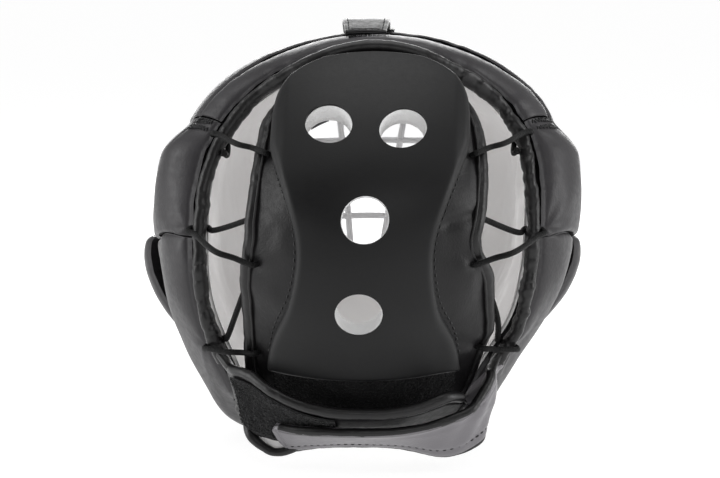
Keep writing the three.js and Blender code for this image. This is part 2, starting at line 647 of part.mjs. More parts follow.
// Laces: from eyelet to eyelet, over the edges on the way to the panel and under them on the way back
function lacePoints(side) {
  const points = [];
  EYELETS.forEach(({ shell, row }, i) => {
    const at = eyeletPlace(shell, side);
    const roll = moved(at.p, [at.alongU, WEB + 4]);
    const eye = panelEyelet(row, side);
    const edge = panelFrame(row, side * (flangeHalf(row) + PANEL_ROLL));
    const seam = panelFrame(row, side * (flangeHalf(row) - PANEL_ROLL / 2));
    if (i === 0) {
      points.push(moved(at.eye, [at.n, -9]), moved(at.eye, [at.n, -6]));
    } else {
      points.push(moved(roll, [at.n, -ROLL - LACE - 1]), moved(at.eye, [at.n, -4.6]));
    }
    points.push(moved(at.eye, [at.n, -2.2]), moved(at.eye, [at.n, 2.2]));
    points.push(moved(at.eye, [at.n, 4.6], [at.alongU, 0.6]), moved(roll, [at.n, ROLL + LACE + 1.1]));
    points.push(moved(at.p, [at.alongU, WEB + REAR_ROLL_END + LACE + 1], [at.n, ROLL]));
    points.push(moved(edge.p, [edge.n, PANEL_ROLL + LACE + 1]));
    points.push(moved(seam.p, [seam.n, PANEL_ROLL + LACE]));
    points.push(moved(eye.p, [eye.n, 4], [eye.across, side * 0.6]));
    points.push(moved(eye.p, [eye.n, 1.8]), moved(eye.p, [eye.n, -1.8]));
    if (i < EYELETS.length - 1) {
      points.push(moved(eye.p, [eye.n, -4], [eye.across, side * 0.6]));
      points.push(moved(seam.p, [seam.n, -PANEL_ROLL - LACE]));
      points.push(moved(edge.p, [edge.n, -PANEL_ROLL - LACE - 1]));
    } else {
      points.push(moved(eye.p, [eye.n, -4.5]), moved(eye.p, [eye.n, -7]));
    }
  });
  return points;
}
for (const [name, side] of [['left', -1], ['right', 1]]) {
  add(`lace_${name}`, bar(lacePoints(side), LACE, 6), ELASTIC);
}

// Neck straps: bands on a squarish plan round the nape, leaning outwards at the top and flatter at the back.
// They start square against the jaw pads' rear ends, and the left one passes inside the right one.
const quarter = Math.PI / 2;
const LAYER = STRAP_THICK + 2.4;      // how far inside the outer strap the inner one lies
function strapFrame(turn, layer) {
  const power = 2 / STRAP_POWER;
  const bend = Math.max(-quarter, Math.min(quarter, turn));
  const s = Math.sin(bend);
  const c = Math.max(0, Math.cos(bend));
  const wide = STRAP_PLAN.halfWidth - layer;
  const deep = STRAP_PLAN.depth - layer;
  const p = vector(
    wide * Math.sign(s) * Math.abs(s) ** power,
    STRAP_PLAN.y - deep * c ** power + (Math.abs(turn) - Math.abs(bend)) * wide,
    STRAP_SIDE.high + (STRAP_BACK.high - STRAP_SIDE.high) * c ** 2 + layer * 0.7,
  );
  const outX = Math.sign(s) * Math.abs(s) ** (2 - power) / wide;
  const out = vector(outX, -(c ** (2 - power)) / deep, 0).normalize();
  const lean = STRAP_SIDE.lean + (STRAP_BACK.lean - STRAP_SIDE.lean) * c ** 2;
  const up = moved(vector(0, 0, Math.cos(lean)), [out, Math.sin(lean)]);
  const face = moved(vector(0, 0, -Math.sin(lean)), [out, Math.cos(lean)]);
  return { p, up, face };
}
function strapGrid(turns, layer, shares, depth, wide) {
  return turns.map((turn, i) => shares.map((share) => {
    const { p, up, face } = strapFrame(turn, layer(turn));
    return moved(p, [up, share * wide(i / (turns.length - 1)) / 2], [face, depth]);
  }));
}
const STRAP_SHARES = [-1, -0.72, 0.72, 1];
const strapStart = quarter + 0.116;
const outerLayer = () => 0;
const innerLayer = (turn) => LAYER * smooth((turn + quarter) / (0.42 * quarter));
const tipWidth = (k) => STRAP_WIDE * (1 - 0.4 * clamp01((k - 0.93) / 0.07) ** 2);
const rightTurns = steps(strapStart, -quarter * 0.5, 18);
add('neck_strap_right', slab(
  strapGrid(rightTurns, outerLayer, STRAP_SHARES, STRAP_THICK / 2, tipWidth),
  strapGrid(rightTurns, outerLayer, STRAP_SHARES, -STRAP_THICK / 2, tipWidth),
), BLACK_LEATHER);
const leftTurns = steps(-strapStart, quarter * 0.55, 18);
add('neck_strap_left', slab(
  strapGrid(leftTurns, innerLayer, STRAP_SHARES, STRAP_THICK / 2, tipWidth),
  strapGrid(leftTurns, innerLayer, STRAP_SHARES, -STRAP_THICK / 2, tipWidth),
), BLACK_LEATHER);

// Fuzzy patch on the left strap, which the right strap's end is pressed onto
const patchTurns = steps(-quarter * 0.86, -quarter * 0.1, 9);
const patchWidth = () => STRAP_WIDE * 0.72;
add('strap_loop', slab(
  strapGrid(patchTurns, innerLayer, [-1, 1], STRAP_THICK / 2 + 2 * GAP + LOOP_THICK, patchWidth),
  strapGrid(patchTurns, innerLayer, [-1, 1], STRAP_THICK / 2 + 2 * GAP, patchWidth),
), FUZZY);

// Crown closure: a fuzzy strip behind and a tab that comes over from the brow seam and lies on it
function crownGrid(rows, xs, high) {
  return rows.map((u) => xs.map((x) => {
    const share = (Math.abs(x) / along(HOOPS, 'wEar', u)) ** (1 / along(HOOPS, 'full', u));
    const { p, n } = onHood(u, Math.sign(x) * Math.asin(share) / Math.PI);
    return moved(p, [n, high(u)]);
  }));
}
const loopHigh = (u) => along(CROWN_LOOP, 'high', u);
const tabHigh = (u) => along(CROWN_TAB, 'high', u);
const crownLoopRows = CROWN_LOOP.map(({ at }) => at);
const loopXs = [-11, 2.5, 16];
add('crown_loop', slab(
  crownGrid(crownLoopRows, loopXs, (u) => loopHigh(u) + LOOP_THICK),
  crownGrid(crownLoopRows, loopXs, loopHigh),
), FUZZY);
const tabRows = steps(CROWN_TAB[0].at, CROWN_TAB[CROWN_TAB.length - 1].at, 9);
const tabXs = [-TAB_WIDE / 2, 0, TAB_WIDE / 2];
add('crown_tab', slab(
  crownGrid(tabRows, tabXs, (u) => tabHigh(u) + TAB_THICK),
  crownGrid(tabRows, tabXs, tabHigh),
), BLACK_LEATHER);

// Face grille: a wire frame seated on the rolled edges, with bowed bars welded across it
const FRAME_AWAY = 2 * (GAP + ROLL) + FRAME_WIRE + FRAME_CLEAR;
const frameCurve = new THREE.CatmullRomCurve3([
  ...steps(-0.62, 0.62, 12).map((t) => moved(faceEdge(t).p, [faceEdge(t).away, FRAME_AWAY])),
  ...steps(0.6, -0.6, 6).map((s) => moved(chinEdge(s).p, [chinEdge(s).away, FRAME_AWAY])),
], true, 'centripetal');
const framePoints = frameCurve.getSpacedPoints(240);
const nearest = (points, miss) => points.reduce((best, p) => (miss(p) < miss(best) ? p : best));
const upper = framePoints.filter((p) => p.z > FRAME_MIDDLE);
const lower = framePoints.filter((p) => p.z <= FRAME_MIDDLE);
const uprights = UPRIGHTS.flatMap(({ top, foot, bow }) => [-1, 1].map((side) => {
  const from = nearest(lower, (p) => Math.abs(p.x - side * foot) + 0.2 * p.z);
  const to = nearest(upper, (p) => Math.abs(p.x - side * top) - 0.2 * p.z);
  return (k) => from.clone().lerp(to, k).add(vector(0, bow * Math.sin(Math.PI * k), 0));
}));
uprights.sort((a, b) => a(0.5).x - b(0.5).x);
function crossbar(z) {
  const left = nearest(framePoints.filter((p) => p.x < 0), (p) => Math.abs(p.z - z) + 0.2 * p.x);
  const right = nearest(framePoints.filter((p) => p.x > 0), (p) => Math.abs(p.z - z) - 0.2 * p.x);
  const crossings = uprights.map((upright) => upright((z - upright(0).z) / (upright(1).z - upright(0).z)));
  return new THREE.CatmullRomCurve3([left, ...crossings, right]).getPoints(8);
}
let grille = solidOf(bar(frameCurve.getSpacedPoints(34).slice(0, -1), FRAME_WIRE, 5, true));
for (const upright of uprights) grille = grille.add(solidOf(bar(steps(0, 1, 6).map(upright), WIRE, 5)));
for (const z of CROSSBARS) grille = grille.add(solidOf(bar(crossbar(z), WIRE, 5)));
add('grille', geometryOf(grille), PALE_WIRE);

// Leather tabs sewn on the brow and the chin guard, turned round the frame wire
function grilleTab(edge, place, half) {
  return loft(TAB_TURN.map((c, i) => {
    const before = TAB_TURN[Math.max(0, i - 1)];
    const after = TAB_TURN[Math.min(TAB_TURN.length - 1, i + 1)];
    const run = new THREE.Vector2(after.away - before.away, after.high - before.high).normalize();
    const corner = (at, skin) => {
      const { p, n, away } = edge(at);
      return moved(p, [away, c.away - skin * run.y], [n, c.high + skin * run.x]);
    };
    const first = place - half;
    const second = place + half;
    return [corner(first, TAB_SKIN / 2), corner(second, TAB_SKIN / 2),
      corner(second, -TAB_SKIN / 2), corner(first, -TAB_SKIN / 2)];
  }));
}
for (const [name, side] of [['left', -1], ['right', 1]]) {
  add(`grille_tab_brow_${name}`, grilleTab(faceEdge, side * 0.182, 0.04), BLACK_LEATHER);
  add(`grille_tab_chin_${name}`, grilleTab(chinEdge, side * 0.28, 0.1), BLACK_LEATHER);
}

// The origin lies under the middle of the whole headgear
const middle = new THREE.Box3().setFromObject(headgear).getCenter(new THREE.Vector3());
headgear.position.set(-middle.x, -middle.y, 0);

export default headgear;
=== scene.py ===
import math

import bpy
import numpy as np
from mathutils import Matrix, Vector


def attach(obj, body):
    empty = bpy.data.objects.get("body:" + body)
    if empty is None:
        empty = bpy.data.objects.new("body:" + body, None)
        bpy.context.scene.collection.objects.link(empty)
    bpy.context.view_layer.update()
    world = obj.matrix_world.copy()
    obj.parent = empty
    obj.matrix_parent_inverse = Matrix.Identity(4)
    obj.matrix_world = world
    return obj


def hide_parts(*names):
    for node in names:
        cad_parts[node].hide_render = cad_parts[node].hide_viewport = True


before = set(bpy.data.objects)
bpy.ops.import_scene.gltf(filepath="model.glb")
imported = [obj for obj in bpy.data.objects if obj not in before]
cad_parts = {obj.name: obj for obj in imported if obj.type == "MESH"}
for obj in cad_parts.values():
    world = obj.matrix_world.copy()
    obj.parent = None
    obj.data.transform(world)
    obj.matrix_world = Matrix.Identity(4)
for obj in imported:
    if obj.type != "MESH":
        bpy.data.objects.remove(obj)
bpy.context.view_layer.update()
MM = 0.001
SHIFT = np.array([0.0, 2.5195, 0.0])

# Sizes in millimetres, most of them shared with the solids; places along a surface are shares or rows
SEAM_GAP = 0.3
HOOD_FOOT = 4.35
FRONT_SEAM, REAR_SEAM, CROWN_SEAM, CHEEK_SEAM = 0.4, 0.8, 0.375, 0.6
SEAM_RISE = 0.07
TUCK_POWER = 1.7
RIM_FROM, RIM_RISE = 0.7, 26.0
OPENING = {-1: (0.115, 0.7, 0.3, 0.11, 0.23, 0.68, 0.3), 1: (0.14, 0.4, 0.45, 0.12, 0.2, 0.58, 0.18)}
INNER_EDGE, INNER_FULL, OUTER_EDGE = 3.0, 11.0, 3.5
HOOD_LENGTH, HOOP_LENGTH = 150.0, 290.0
CHIN_TOP, CHIN_ANGLE = 0.72, math.radians(65)
CHIN_FRONT_TOP, CHIN_FRONT_BOTTOM, CHIN_THICK, CHIN_HALF, CHIN_FILL = 110.0, 100.0, 13.0, 75.0, 6.0
ROLL, WEB, GAP = 4.0, 5.2, 0.35
FACE_ROUND, RIM_ROUND = 25.0, 26.0
LACE = 1.6
PANEL_THICK, PANEL_ROUND, PANEL_ROLL = 3.0, 70.0, 2.8
PANEL_FOOT, PANEL_HEAD, ROW_LENGTH = -0.45, 7.0, 30.0
PANEL_DROP, PANEL_DROP_REACH, PANEL_DROP_ROWS = 9.0, 48.0, 1.5
PAD_RAISE, PAD_BEVEL = 10.0, 6.0
PAD_FLAT, PAD_FLAT_REACH = 4.0, 38.0
PAD_BOTTOM, PAD_TOP, BINDING_TOP, EYELET_INSET = 0.62, 6.86, 6.6, 3.6
PAD_SHOULDER, PAD_SHOULDER_ROW, PAD_HEAD_ROWS = 48.5, 5, 1.92
VENT = 12.6
WIRE, FRAME_WIRE, FRAME_CLEAR = 2.0, 2.4, 0.8
STRAP_THICK, STRAP_WIDE, STRAP_POWER = 5.0, 32.0, 2.6
LAYER, LAYER_RISE = STRAP_THICK + 2.4, 0.7
STRAP_SPAN, STRAP_DEEP, STRAP_BACK = 68.5, 46.0, -57.0
STRAP_ROOT_LEVEL, STRAP_NAPE_LEVEL = 38.0, 23.5
STRAP_ROOT_LEAN, STRAP_NAPE_LEAN = 0.3, 1.08
QUARTER = math.pi / 2
TAB_WIDE, TAB_THICK, TAB_FRONT, TAB_END, TAB_HEM = 25.5, 2.4, 0.43, 0.87, 2.6
HEAD_MIDDLE = np.array([0.0, 15.0, 110.0])
CHEEKBONE = {"u": 0.27, "a": 0.67, "wide_u": 0.18, "wide_a": 0.14, "high": 24.0}


def table(columns, rows):
    """Columns of numbers by name."""
    return {name: np.array([row[i] for row in rows], float) for i, name in enumerate(columns.split())}


HOOPS = table("at full yTop zTop zEar yEar wEar yJaw wJaw", [
    (0, 0.88, 100, 188, 135, 92, 66, 78, 46),
    (1 / 3, 0.88, 58, 213, 138, 58, 94, 50, 52),
    (2 / 3, 0.88, 2, 219, 140, 2, 99, 6, 56),
    (1, 1, -40, 226, 130, -50, 92, -48, 67),
])
PANEL = table("at y z pad left right", [
    (0, -84, 40, 48, 58, 58),
    (1, -97, 66, 46, 59, 62.5),
    (2, -112, 95, 37, 61, 64.5),
    (3, -118, 124, 34, 59.6, 56),
    (4, -114, 152, 39.5, 59, 58.5),
    (5, -94, 182, 48.5, 57, 58.5),
    (6, -70, 206, 49, 52.6, 52.9),
    (7, -49, 220, 20, 36, 36),
])
CROWN_LOOP = table("at high", [(0.7, 13.4), (0.78, 10.8), (0.86, 7.7), (0.96, 6.0)])
CROWN_TAB = table("at high", [(0.43, 13.6), (0.55, 17.6), (0.66, 19), (0.77, 14.6), (0.87, 9.6)])
TAB_TURN = table("at away high", [
    (0, -15, 14.8), (1, -6, 11.2), (2, 2, 6.4), (3, 9, 4.6),
    (4, 14.6, 2.6), (5, 15.8, -1.6), (6, 13.2, -5), (7, 10.2, -5.2),
])
PADS = {
    "brow_pad": (0, FRONT_SEAM, 0, CROWN_SEAM, 13, 0),
    "crown_front_pad": (FRONT_SEAM, REAR_SEAM, 0, CROWN_SEAM, 13, 0),
    "crown_rear_pad": (REAR_SEAM, 1, 0, CROWN_SEAM, 10.5, 26),
    "front_temple": (0, FRONT_SEAM, CROWN_SEAM, CHEEK_SEAM, 15, 0),
    "temple": (FRONT_SEAM, 1, CROWN_SEAM, CHEEK_SEAM, 22.5, 42),
    "cheek": (0, FRONT_SEAM, CHEEK_SEAM, 1, 20, 0),
    "jaw": (FRONT_SEAM, 1, CHEEK_SEAM, 1, 20, 42),
}
VENTS = [(-22.1, 5.1), (17.4, 5.0), (-0.6, 3.6), (-1.8, 2.0)]
EYELETS = [(0.405, 5.1), (0.575, 2.55), (0.857, 0.72)]
UPRIGHTS = [(20, 9, 9), (45, 36, 8)]
CROSSBARS = [113, 136.5, 160]
STRAP_TOP = 0.9
SIDES = (("left", -1), ("right", 1))
UP, FORWARD, RIGHT = np.array([0.0, 0.0, 1.0]), np.array([0.0, 1.0, 0.0]), np.array([1.0, 0.0, 0.0])

# Values of the dressed pieces alone
LEAN, LEAN_LEVEL = 0.042, 112
REAR_ROLL, REAR_ROLL_RADIUS, ROLL_RADIUS = 7.9, 4.1, 3.9
TEMPLE_RAMP = 24
CROWN_SWELL = {"crown_rear_pad": 0.286, "crown_front_pad": 0.115}
PAD_SEEDS = {-1: 5, 0: 0, 1: 9}
LINING_THICK = 2
STRIP_FOOT = -0.42
STRAP_SEWN = np.array([0.72, 0.78, 0.83, 0.87])
STRAP_OVERRUN = 0.116
NAPE_LOOP_HALF = 47
WELD = 2.75


# Small curves
def smooth(k):
    k = np.clip(k, 0, 1)
    return k * k * (3 - 2 * k)


def hump(x, at, width):
    return np.exp(-((x - at) / width) ** 2)


def shoulder(distance, width):
    return np.sqrt(np.clip(1 - (1 - np.clip(distance / width, 0, 1)) ** 2, 0, 1))


def along(rows, column, at):
    """A smooth value between the rows of a table."""
    x, v = rows["at"], rows[column]
    at = np.asarray(at, float)
    last = len(x) - 1
    before, after = np.maximum(np.arange(last + 1) - 1, 0), np.minimum(np.arange(last + 1) + 1, last)
    slope = (v[after] - v[before]) / (x[after] - x[before])
    i = np.clip(np.searchsorted(x, at, side="left") - 1, 0, last - 1)
    span = x[i + 1] - x[i]
    k = (at - x[i]) / span
    k2, k3 = k * k, k * k * k
    return ((2 * k3 - 3 * k2 + 1) * v[i] + (k3 - 2 * k2 + k) * span * slope[i]
            + (3 * k2 - 2 * k3) * v[i + 1] + (k3 - k2) * span * slope[i + 1])


def unit(v):
    return v / np.maximum(np.linalg.norm(v, axis=-1, keepdims=True), 1e-9)


def xyz(x, y, z):
    return np.stack(np.broadcast_arrays(np.asarray(x, float), y, z), axis=-1)


def scaled(v, k):
    return v * np.asarray(k, float)[..., None]


def crossed(rows, columns):
    return np.meshgrid(rows, columns, indexing="ij")


def edged(inset, rim, middle):
    """Places from -1 to 1, closer together near both ends."""
    return np.concatenate([np.linspace(-1, -inset, rim)[:-1], np.linspace(-inset, inset, middle)[:-1],
                           np.linspace(inset, 1, rim)])


# Smooth noise, the same on every run
def lattice(ix, iy, iz, seed):
    h = (ix * 374761393 + iy * 668265263 + iz * 1274126177 + seed * 974634777) & 0xFFFFFFFF
    h = ((h ^ (h >> 13)) * 1103515245) & 0xFFFFFFFF
    h = ((h ^ (h >> 16)) * 668265263) & 0xFFFFFFFF
    return ((h ^ (h >> 15)) & 0xFFFF) / 32767.5 - 1


def noise(p, seed=0):
    p = np.asarray(p, float)
    cell = np.floor(p).astype(np.int64)
    k = p - cell
    k = k * k * (3 - 2 * k)
    total = 0
    for dx in (0, 1):
        for dy in (0, 1):
            for dz in (0, 1):
                share = (np.where(dx, k[..., 0], 1 - k[..., 0]) * np.where(dy, k[..., 1], 1 - k[..., 1])
                         * np.where(dz, k[..., 2], 1 - k[..., 2]))
                total = total + share * lattice(cell[..., 0] + dx, cell[..., 1] + dy, cell[..., 2] + dz, seed)
    return total


def waves(s, seed=0, across=0.0):
    """Irregular waves along one direction."""
    s = np.asarray(s, float)
    return noise(xyz(s, across, 0.5), seed) + 0.5 * noise(xyz(2.1 * s, across, 3.5), seed + 7)


# The surfaces that the pieces follow
def drawn_forward(u, a, side):
    draw, start, over, top, top_over, end, end_over = OPENING[side]
    return u - draw * smooth((a - top) / top_over) * smooth((end - a) / end_over) * smooth((u - start) / over)


def hood(u, t):
    u, t = np.broadcast_arrays(np.asarray(u, float), np.asarray(t, float))
    a = np.abs(t)
    u = np.where(t < 0, drawn_forward(u, a, -1), drawn_forward(u, a, 1))
    place = a - SEAM_RISE * smooth(2 * u - 1) * np.sin(math.pi * a)
    row = {name: along(HOOPS, name, u) for name in HOOPS if name != "at"}
    side = np.where(t < 0, -1.0, 1.0)
    turn = np.clip(place / 0.5, 0, 1) * math.pi / 2
    lift = np.maximum(np.cos(turn), 0) ** row["full"]
    dome = xyz(side * row["wEar"] * np.sin(turn) ** row["full"],
               row["yEar"] + (row["yTop"] - row["yEar"]) * lift,
               row["zEar"] + (row["zTop"] - row["zEar"]) * lift)
    k = np.clip((place - 0.5) / 0.5, 0, None)
    wall = xyz(side * (row["wEar"] + (row["wJaw"] - row["wEar"]) * smooth(k ** TUCK_POWER)),
               row["yEar"] + (row["yJaw"] - row["yEar"]) * smooth(k),
               row["zEar"] + (HOOD_FOOT + RIM_RISE * smooth((u - RIM_FROM) / (1 - RIM_FROM)) - row["zEar"]) * k)
    return np.where((place <= 0.5)[..., None], dome, wall)


def chin(s, a):
    s, a = np.broadcast_arrays(np.asarray(s, float), np.asarray(a, float))
    end = hood(np.zeros_like(a), a)
    turn = s * CHIN_ANGLE
    front = CHIN_FRONT_BOTTOM + (CHIN_FRONT_TOP - CHIN_FRONT_BOTTOM) * smooth((1 - a) / (1 - CHIN_TOP))
    reach = (np.cos(turn) - math.cos(CHIN_ANGLE)) / (1 - math.cos(CHIN_ANGLE))
    return xyz(end[..., 0] * np.sin(turn) / math.sin(CHIN_ANGLE),
               end[..., 1] + (front - end[..., 1]) * reach, end[..., 2])


def frame_on(surface, u, t, least, most):
    """Points, outward normals and the two directions of a surface."""
    u, t = np.broadcast_arrays(np.asarray(u, float), np.asarray(t, float))
    step = 0.004
    u0, u1 = np.maximum(least[0], u - step), np.minimum(most[0], u + step)
    t0, t1 = np.maximum(least[1], t - step), np.minimum(most[1], t + step)
    p = surface(u, t)
    along_u = unit(surface(u1, t) - surface(u0, t))
    along_t = unit(surface(u, t1) - surface(u, t0))
    n = unit(np.cross(along_u, along_t))
    inward = np.sum(n * (p - HEAD_MIDDLE), axis=-1) < 0
    return p, np.where(inward[..., None], -n, n), along_u, along_t


def on_hood(u, t):
    return frame_on(hood, u, t, (0, -1), (1, 1))


def on_chin(s, a):
    p, n, along_s, along_a = frame_on(chin, s, a, (-1, CHIN_TOP), (1, 1))
    s, a = np.broadcast_arrays(np.asarray(s, float), np.asarray(a, float))
    other = on_hood(np.zeros_like(a), np.where(s < 0, -a, a))[1]
    share = (np.abs(s) ** 6)[..., None]
    return p, unit(n * (1 - share) + other * share), along_s, along_a


def rear_edge(t):
    return on_hood(np.ones_like(np.asarray(t, float)), t)


def face_edge(t):
    p, n, along_u, _ = on_hood(np.zeros_like(np.asarray(t, float)), t)
    return p, n, -along_u


def chin_edge(s):
    p, n, _, along_a = on_chin(s, np.full_like(np.asarray(s, float), CHIN_TOP))
    return p, n, -along_a


def panel_frame(row, x):
    """Points, outward normals, and the directions up and across the back panel."""
    row, x = np.broadcast_arrays(np.asarray(row, float), np.asarray(x, float))

    def middle(at):
        return xyz(0.0, along(PANEL, "y", at), along(PANEL, "z", at))
    here = middle(row)
    rise = unit(middle(row + 0.01) - here)
    back = xyz(0.0, -rise[..., 2], rise[..., 1])
    p = here + scaled(RIGHT, x) - scaled(back, x * x / (2 * PANEL_ROUND))
    drop = PANEL_DROP * np.minimum(np.abs(x) / PANEL_DROP_REACH, 1.1) ** 2
    p = p - scaled(rise, drop * smooth((PANEL_DROP_ROWS - row) / PANEL_DROP_ROWS))
    across = unit(RIGHT - scaled(back, x / PANEL_ROUND))
    n = unit(back + scaled(RIGHT, x / PANEL_ROUND))
    return p, n, rise, across


def strap_frame(turn, layer):
    """Middle line of a neck strap, and the directions up its width and out of its face."""
    power = 2 / STRAP_POWER
    turn, layer = np.broadcast_arrays(np.asarray(turn, float), np.asarray(layer, float))
    bend = np.clip(turn, -QUARTER, QUARTER)
    s, c = np.sin(bend), np.maximum(0, np.cos(bend))
    wide, deep = STRAP_SPAN - layer, STRAP_DEEP - layer
    p = xyz(wide * np.sign(s) * np.abs(s) ** power,
            STRAP_BACK - deep * c ** power + (np.abs(turn) - np.abs(bend)) * wide,
            STRAP_ROOT_LEVEL + (STRAP_NAPE_LEVEL - STRAP_ROOT_LEVEL) * c ** 2 + layer * LAYER_RISE)
    out = unit(xyz(np.sign(s) * np.abs(s) ** (2 - power) / wide, -(c ** (2 - power)) / deep, 0.0))
    lean = STRAP_ROOT_LEAN + (STRAP_NAPE_LEAN - STRAP_ROOT_LEAN) * c ** 2
    up = scaled(UP, np.cos(lean)) + scaled(out, np.sin(lean))
    face = scaled(out, np.cos(lean)) - scaled(UP, np.sin(lean))
    return p, up, face


def inner_depth(u, a):
    return INNER_EDGE + (INNER_FULL - INNER_EDGE) * (1 - (2 * u - 1) ** 4) * (1 - a ** 6)


def chin_depth(a):
    return INNER_EDGE + CHIN_FILL * np.clip(np.sin(math.pi * (1 - a) / (1 - CHIN_TOP)), 0, 1) ** 0.7


# Meshes
def grid_faces(rows, columns, ring_rows=False, ring_columns=False):
    i, j = crossed(np.arange(rows if ring_rows else rows - 1), np.arange(columns if ring_columns else columns - 1))
    i2, j2 = (i + 1) % rows, (j + 1) % columns
    quads = np.stack([i * columns + j, i2 * columns + j, i2 * columns + j2, i * columns + j2], axis=-1)
    return quads.reshape(-1, 4)


def slab(outer, inner):
    """A closed body between two grids of points."""
    rows, columns = outer.shape[:2]
    count = rows * columns
    top = np.arange(count).reshape(rows, columns)
    rim = np.concatenate([top[0, :-1], top[:-1, -1], top[-1, :0:-1], top[:0:-1, 0]])
    nxt = np.roll(rim, -1)
    walls = np.stack([rim, nxt, nxt + count, rim + count], axis=-1)
    sheet = grid_faces(rows, columns)
    faces = np.concatenate([sheet, sheet[:, ::-1] + count, walls[:, ::-1]])
    return np.concatenate([outer.reshape(-1, 3), inner.reshape(-1, 3)]), faces


def shell(p, n, over, under):
    """A closed body between two heights over a surface."""
    return slab(p + scaled(n, over), p + scaled(n, under))


def swept(path, across, x, up, y):
    """Rings of points round a path, each x along one direction and y along another."""
    return path[:, None] + across[:, None] * x[..., None] + up[:, None] * y[..., None]


def loft(rings, ringed=False):
    """A closed body through rings of points."""
    count, sides = rings.shape[:2]
    faces = grid_faces(count, sides, ringed, True)
    points = rings.reshape(-1, 3)
    if not ringed:
        points = np.concatenate([points, rings[0].mean(axis=0)[None], rings[-1].mean(axis=0)[None]])
        j = np.arange(sides)
        k = (j + 1) % sides
        first, base = np.full(sides, count * sides), (count - 1) * sides
        start, end = [first, j, k, k], [first + 1, base + k, base + j, base + j]
        faces = np.concatenate([faces, np.stack(start, axis=-1), np.stack(end, axis=-1)])
    return points, faces


def turned_out(points, faces):
    a, b, c, d = (points[faces[:, i]] for i in range(4))
    volume = np.sum(a * np.cross(b, c)) + np.sum(a * np.cross(c, d))
    return faces[:, ::-1] if volume < 0 else faces


def joined(bodies):
    """Several closed bodies as one mesh."""
    points, faces, start = [], [], 0
    for p, f in bodies:
        points.append(p)
        faces.append(turned_out(p, f) + start)
        start += len(p)
    return np.concatenate(points), np.concatenate(faces)


def settle(p):
    """The soft shell as it sits: it leans a little to one side, its right jaw hangs in and its left cheek out."""
    x, y, z = p[..., 0], p[..., 1], p[..., 2]
    lean = LEAN * (z - LEAN_LEVEL) * (1 - 0.9 * smooth((62 - z) / 24) * smooth((-50 - y) / 14))
    jaw = 8 * smooth((112 - z) / 70) * smooth(x / 55) * smooth((y + 78) / 22)
    cheek = 5 * hump(z, 112, 34) * smooth((-x - 90) / 25) * smooth((y - 5) / 30)
    corner = 6 * smooth((x - 40) / 20) * smooth((-35 - y) / 20) * smooth((105 - z) / 35)
    corner = corner * (0.3 + 0.7 * smooth((z - 25) / 25))
    rise = (1.6 * np.clip(x / 90, -1, 0) - 0.5 * np.clip(x / 90, 0, 1)) * smooth((z - 70) / 60)
    return p + xyz(lean - jaw - cheek + corner, 0.0, rise)


def mesh_object(name, points, faces):
    """A new object; a face that names a point twice becomes a triangle."""
    mesh = bpy.data.meshes.new(name)
    mesh.from_pydata(points.tolist(), [], [[int(i) for k, i in enumerate(f) if i != f[k - 1]] for f in faces])
    made = bpy.data.objects.new(name, mesh)
    bpy.context.scene.collection.objects.link(made)
    return made


def smooth_shaded(mesh):
    mesh.polygons.foreach_set("use_smooth", [True] * len(mesh.polygons))


def piece(name, body, look, added=False, soft=True):
    """A visible piece. It replaces the node of its name, unless it is added to the solids."""
    points, faces = body
    points = settle(points) if soft else points
    made = mesh_object(name, (points + SHIFT) * MM, turned_out(points, faces))
    smooth_shaded(made.data)
    material, slot = look
    made.data.materials.append(material)
    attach(made, "root")
    if not added:
        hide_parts(name)
    return made


def tube(path, radius, sides=10, ringed=False):
    """A round body along points; the radius may differ at each ring and side."""
    way = unit(np.roll(path, -1, axis=0) - np.roll(path, 1, axis=0))
    if not ringed:
        way[0], way[-1] = unit(path[1] - path[0]), unit(path[-1] - path[-2])
    side = np.zeros_like(path)
    last = UP if abs(way[0, 2]) < 0.9 else FORWARD
    for i, w in enumerate(way):
        last = unit(last - w * np.dot(last, w))
        side[i] = last
    other = np.cross(way, side)
    turn = 2 * math.pi * np.arange(sides) / sides
    r = np.broadcast_to(np.asarray(radius, float), (len(path), sides))
    return loft(swept(path, side, r * np.cos(turn), other, r * np.sin(turn)), ringed)


def run(path):
    """Length along a path at each of its points."""
    return np.concatenate([[0], np.cumsum(np.linalg.norm(np.diff(path, axis=0), axis=1))])


def placed(at, length, values):
    return np.stack([np.interp(at, length, values[:, i]) for i in range(3)], axis=-1)


def spaced(path, count, ringed=False):
    closed = np.concatenate([path, path[:1]]) if ringed else path
    length = run(closed)
    at = np.linspace(0, length[-1], count + 1)[:-1] if ringed else np.linspace(0, length[-1], count)
    return placed(at, length, closed)


def spline(points, count, ringed=False):
    """Evenly spaced points on a centripetal curve through given points."""
    p = np.asarray(points, float)
    before, after = (p[-1:], p[:2]) if ringed else (2 * p[:1] - p[1:2], 2 * p[-1:] - p[-2:-1])
    p = np.concatenate([before, p, after])
    made = []
    k = np.linspace(0, 1, 24, endpoint=False)[:, None]
    for i in range(1, len(p) - 2):
        p0, p1, p2, p3 = p[i - 1:i + 3]
        d = [max(np.linalg.norm(b - a), 1e-6) ** 0.5 for a, b in ((p0, p1), (p1, p2), (p2, p3))]
        m1 = (p2 - p1) + d[1] * ((p1 - p0) / d[0] - (p2 - p0) / (d[0] + d[1]))
        m2 = (p2 - p1) + d[1] * ((p3 - p2) / d[2] - (p3 - p1) / (d[1] + d[2]))
        made.append((2 * k ** 3 - 3 * k ** 2 + 1) * p1 + (k ** 3 - 2 * k ** 2 + k) * m1
                    + (3 * k ** 2 - 2 * k ** 3) * p2 + (k ** 3 - k ** 2) * m2)
    return spaced(np.concatenate(made + ([] if ringed else [p[-2:-1]])), count, ringed)


# Materials
def set_inputs(node, inputs):
    for name, value in inputs.items():
        node.inputs[name].default_value = value


def node_of(tree, kind, inputs=None, **values):
    made = tree.nodes.new(kind)
    for name, value in values.items():
        setattr(made, name, value)
    set_inputs(made, inputs or {})
    return made


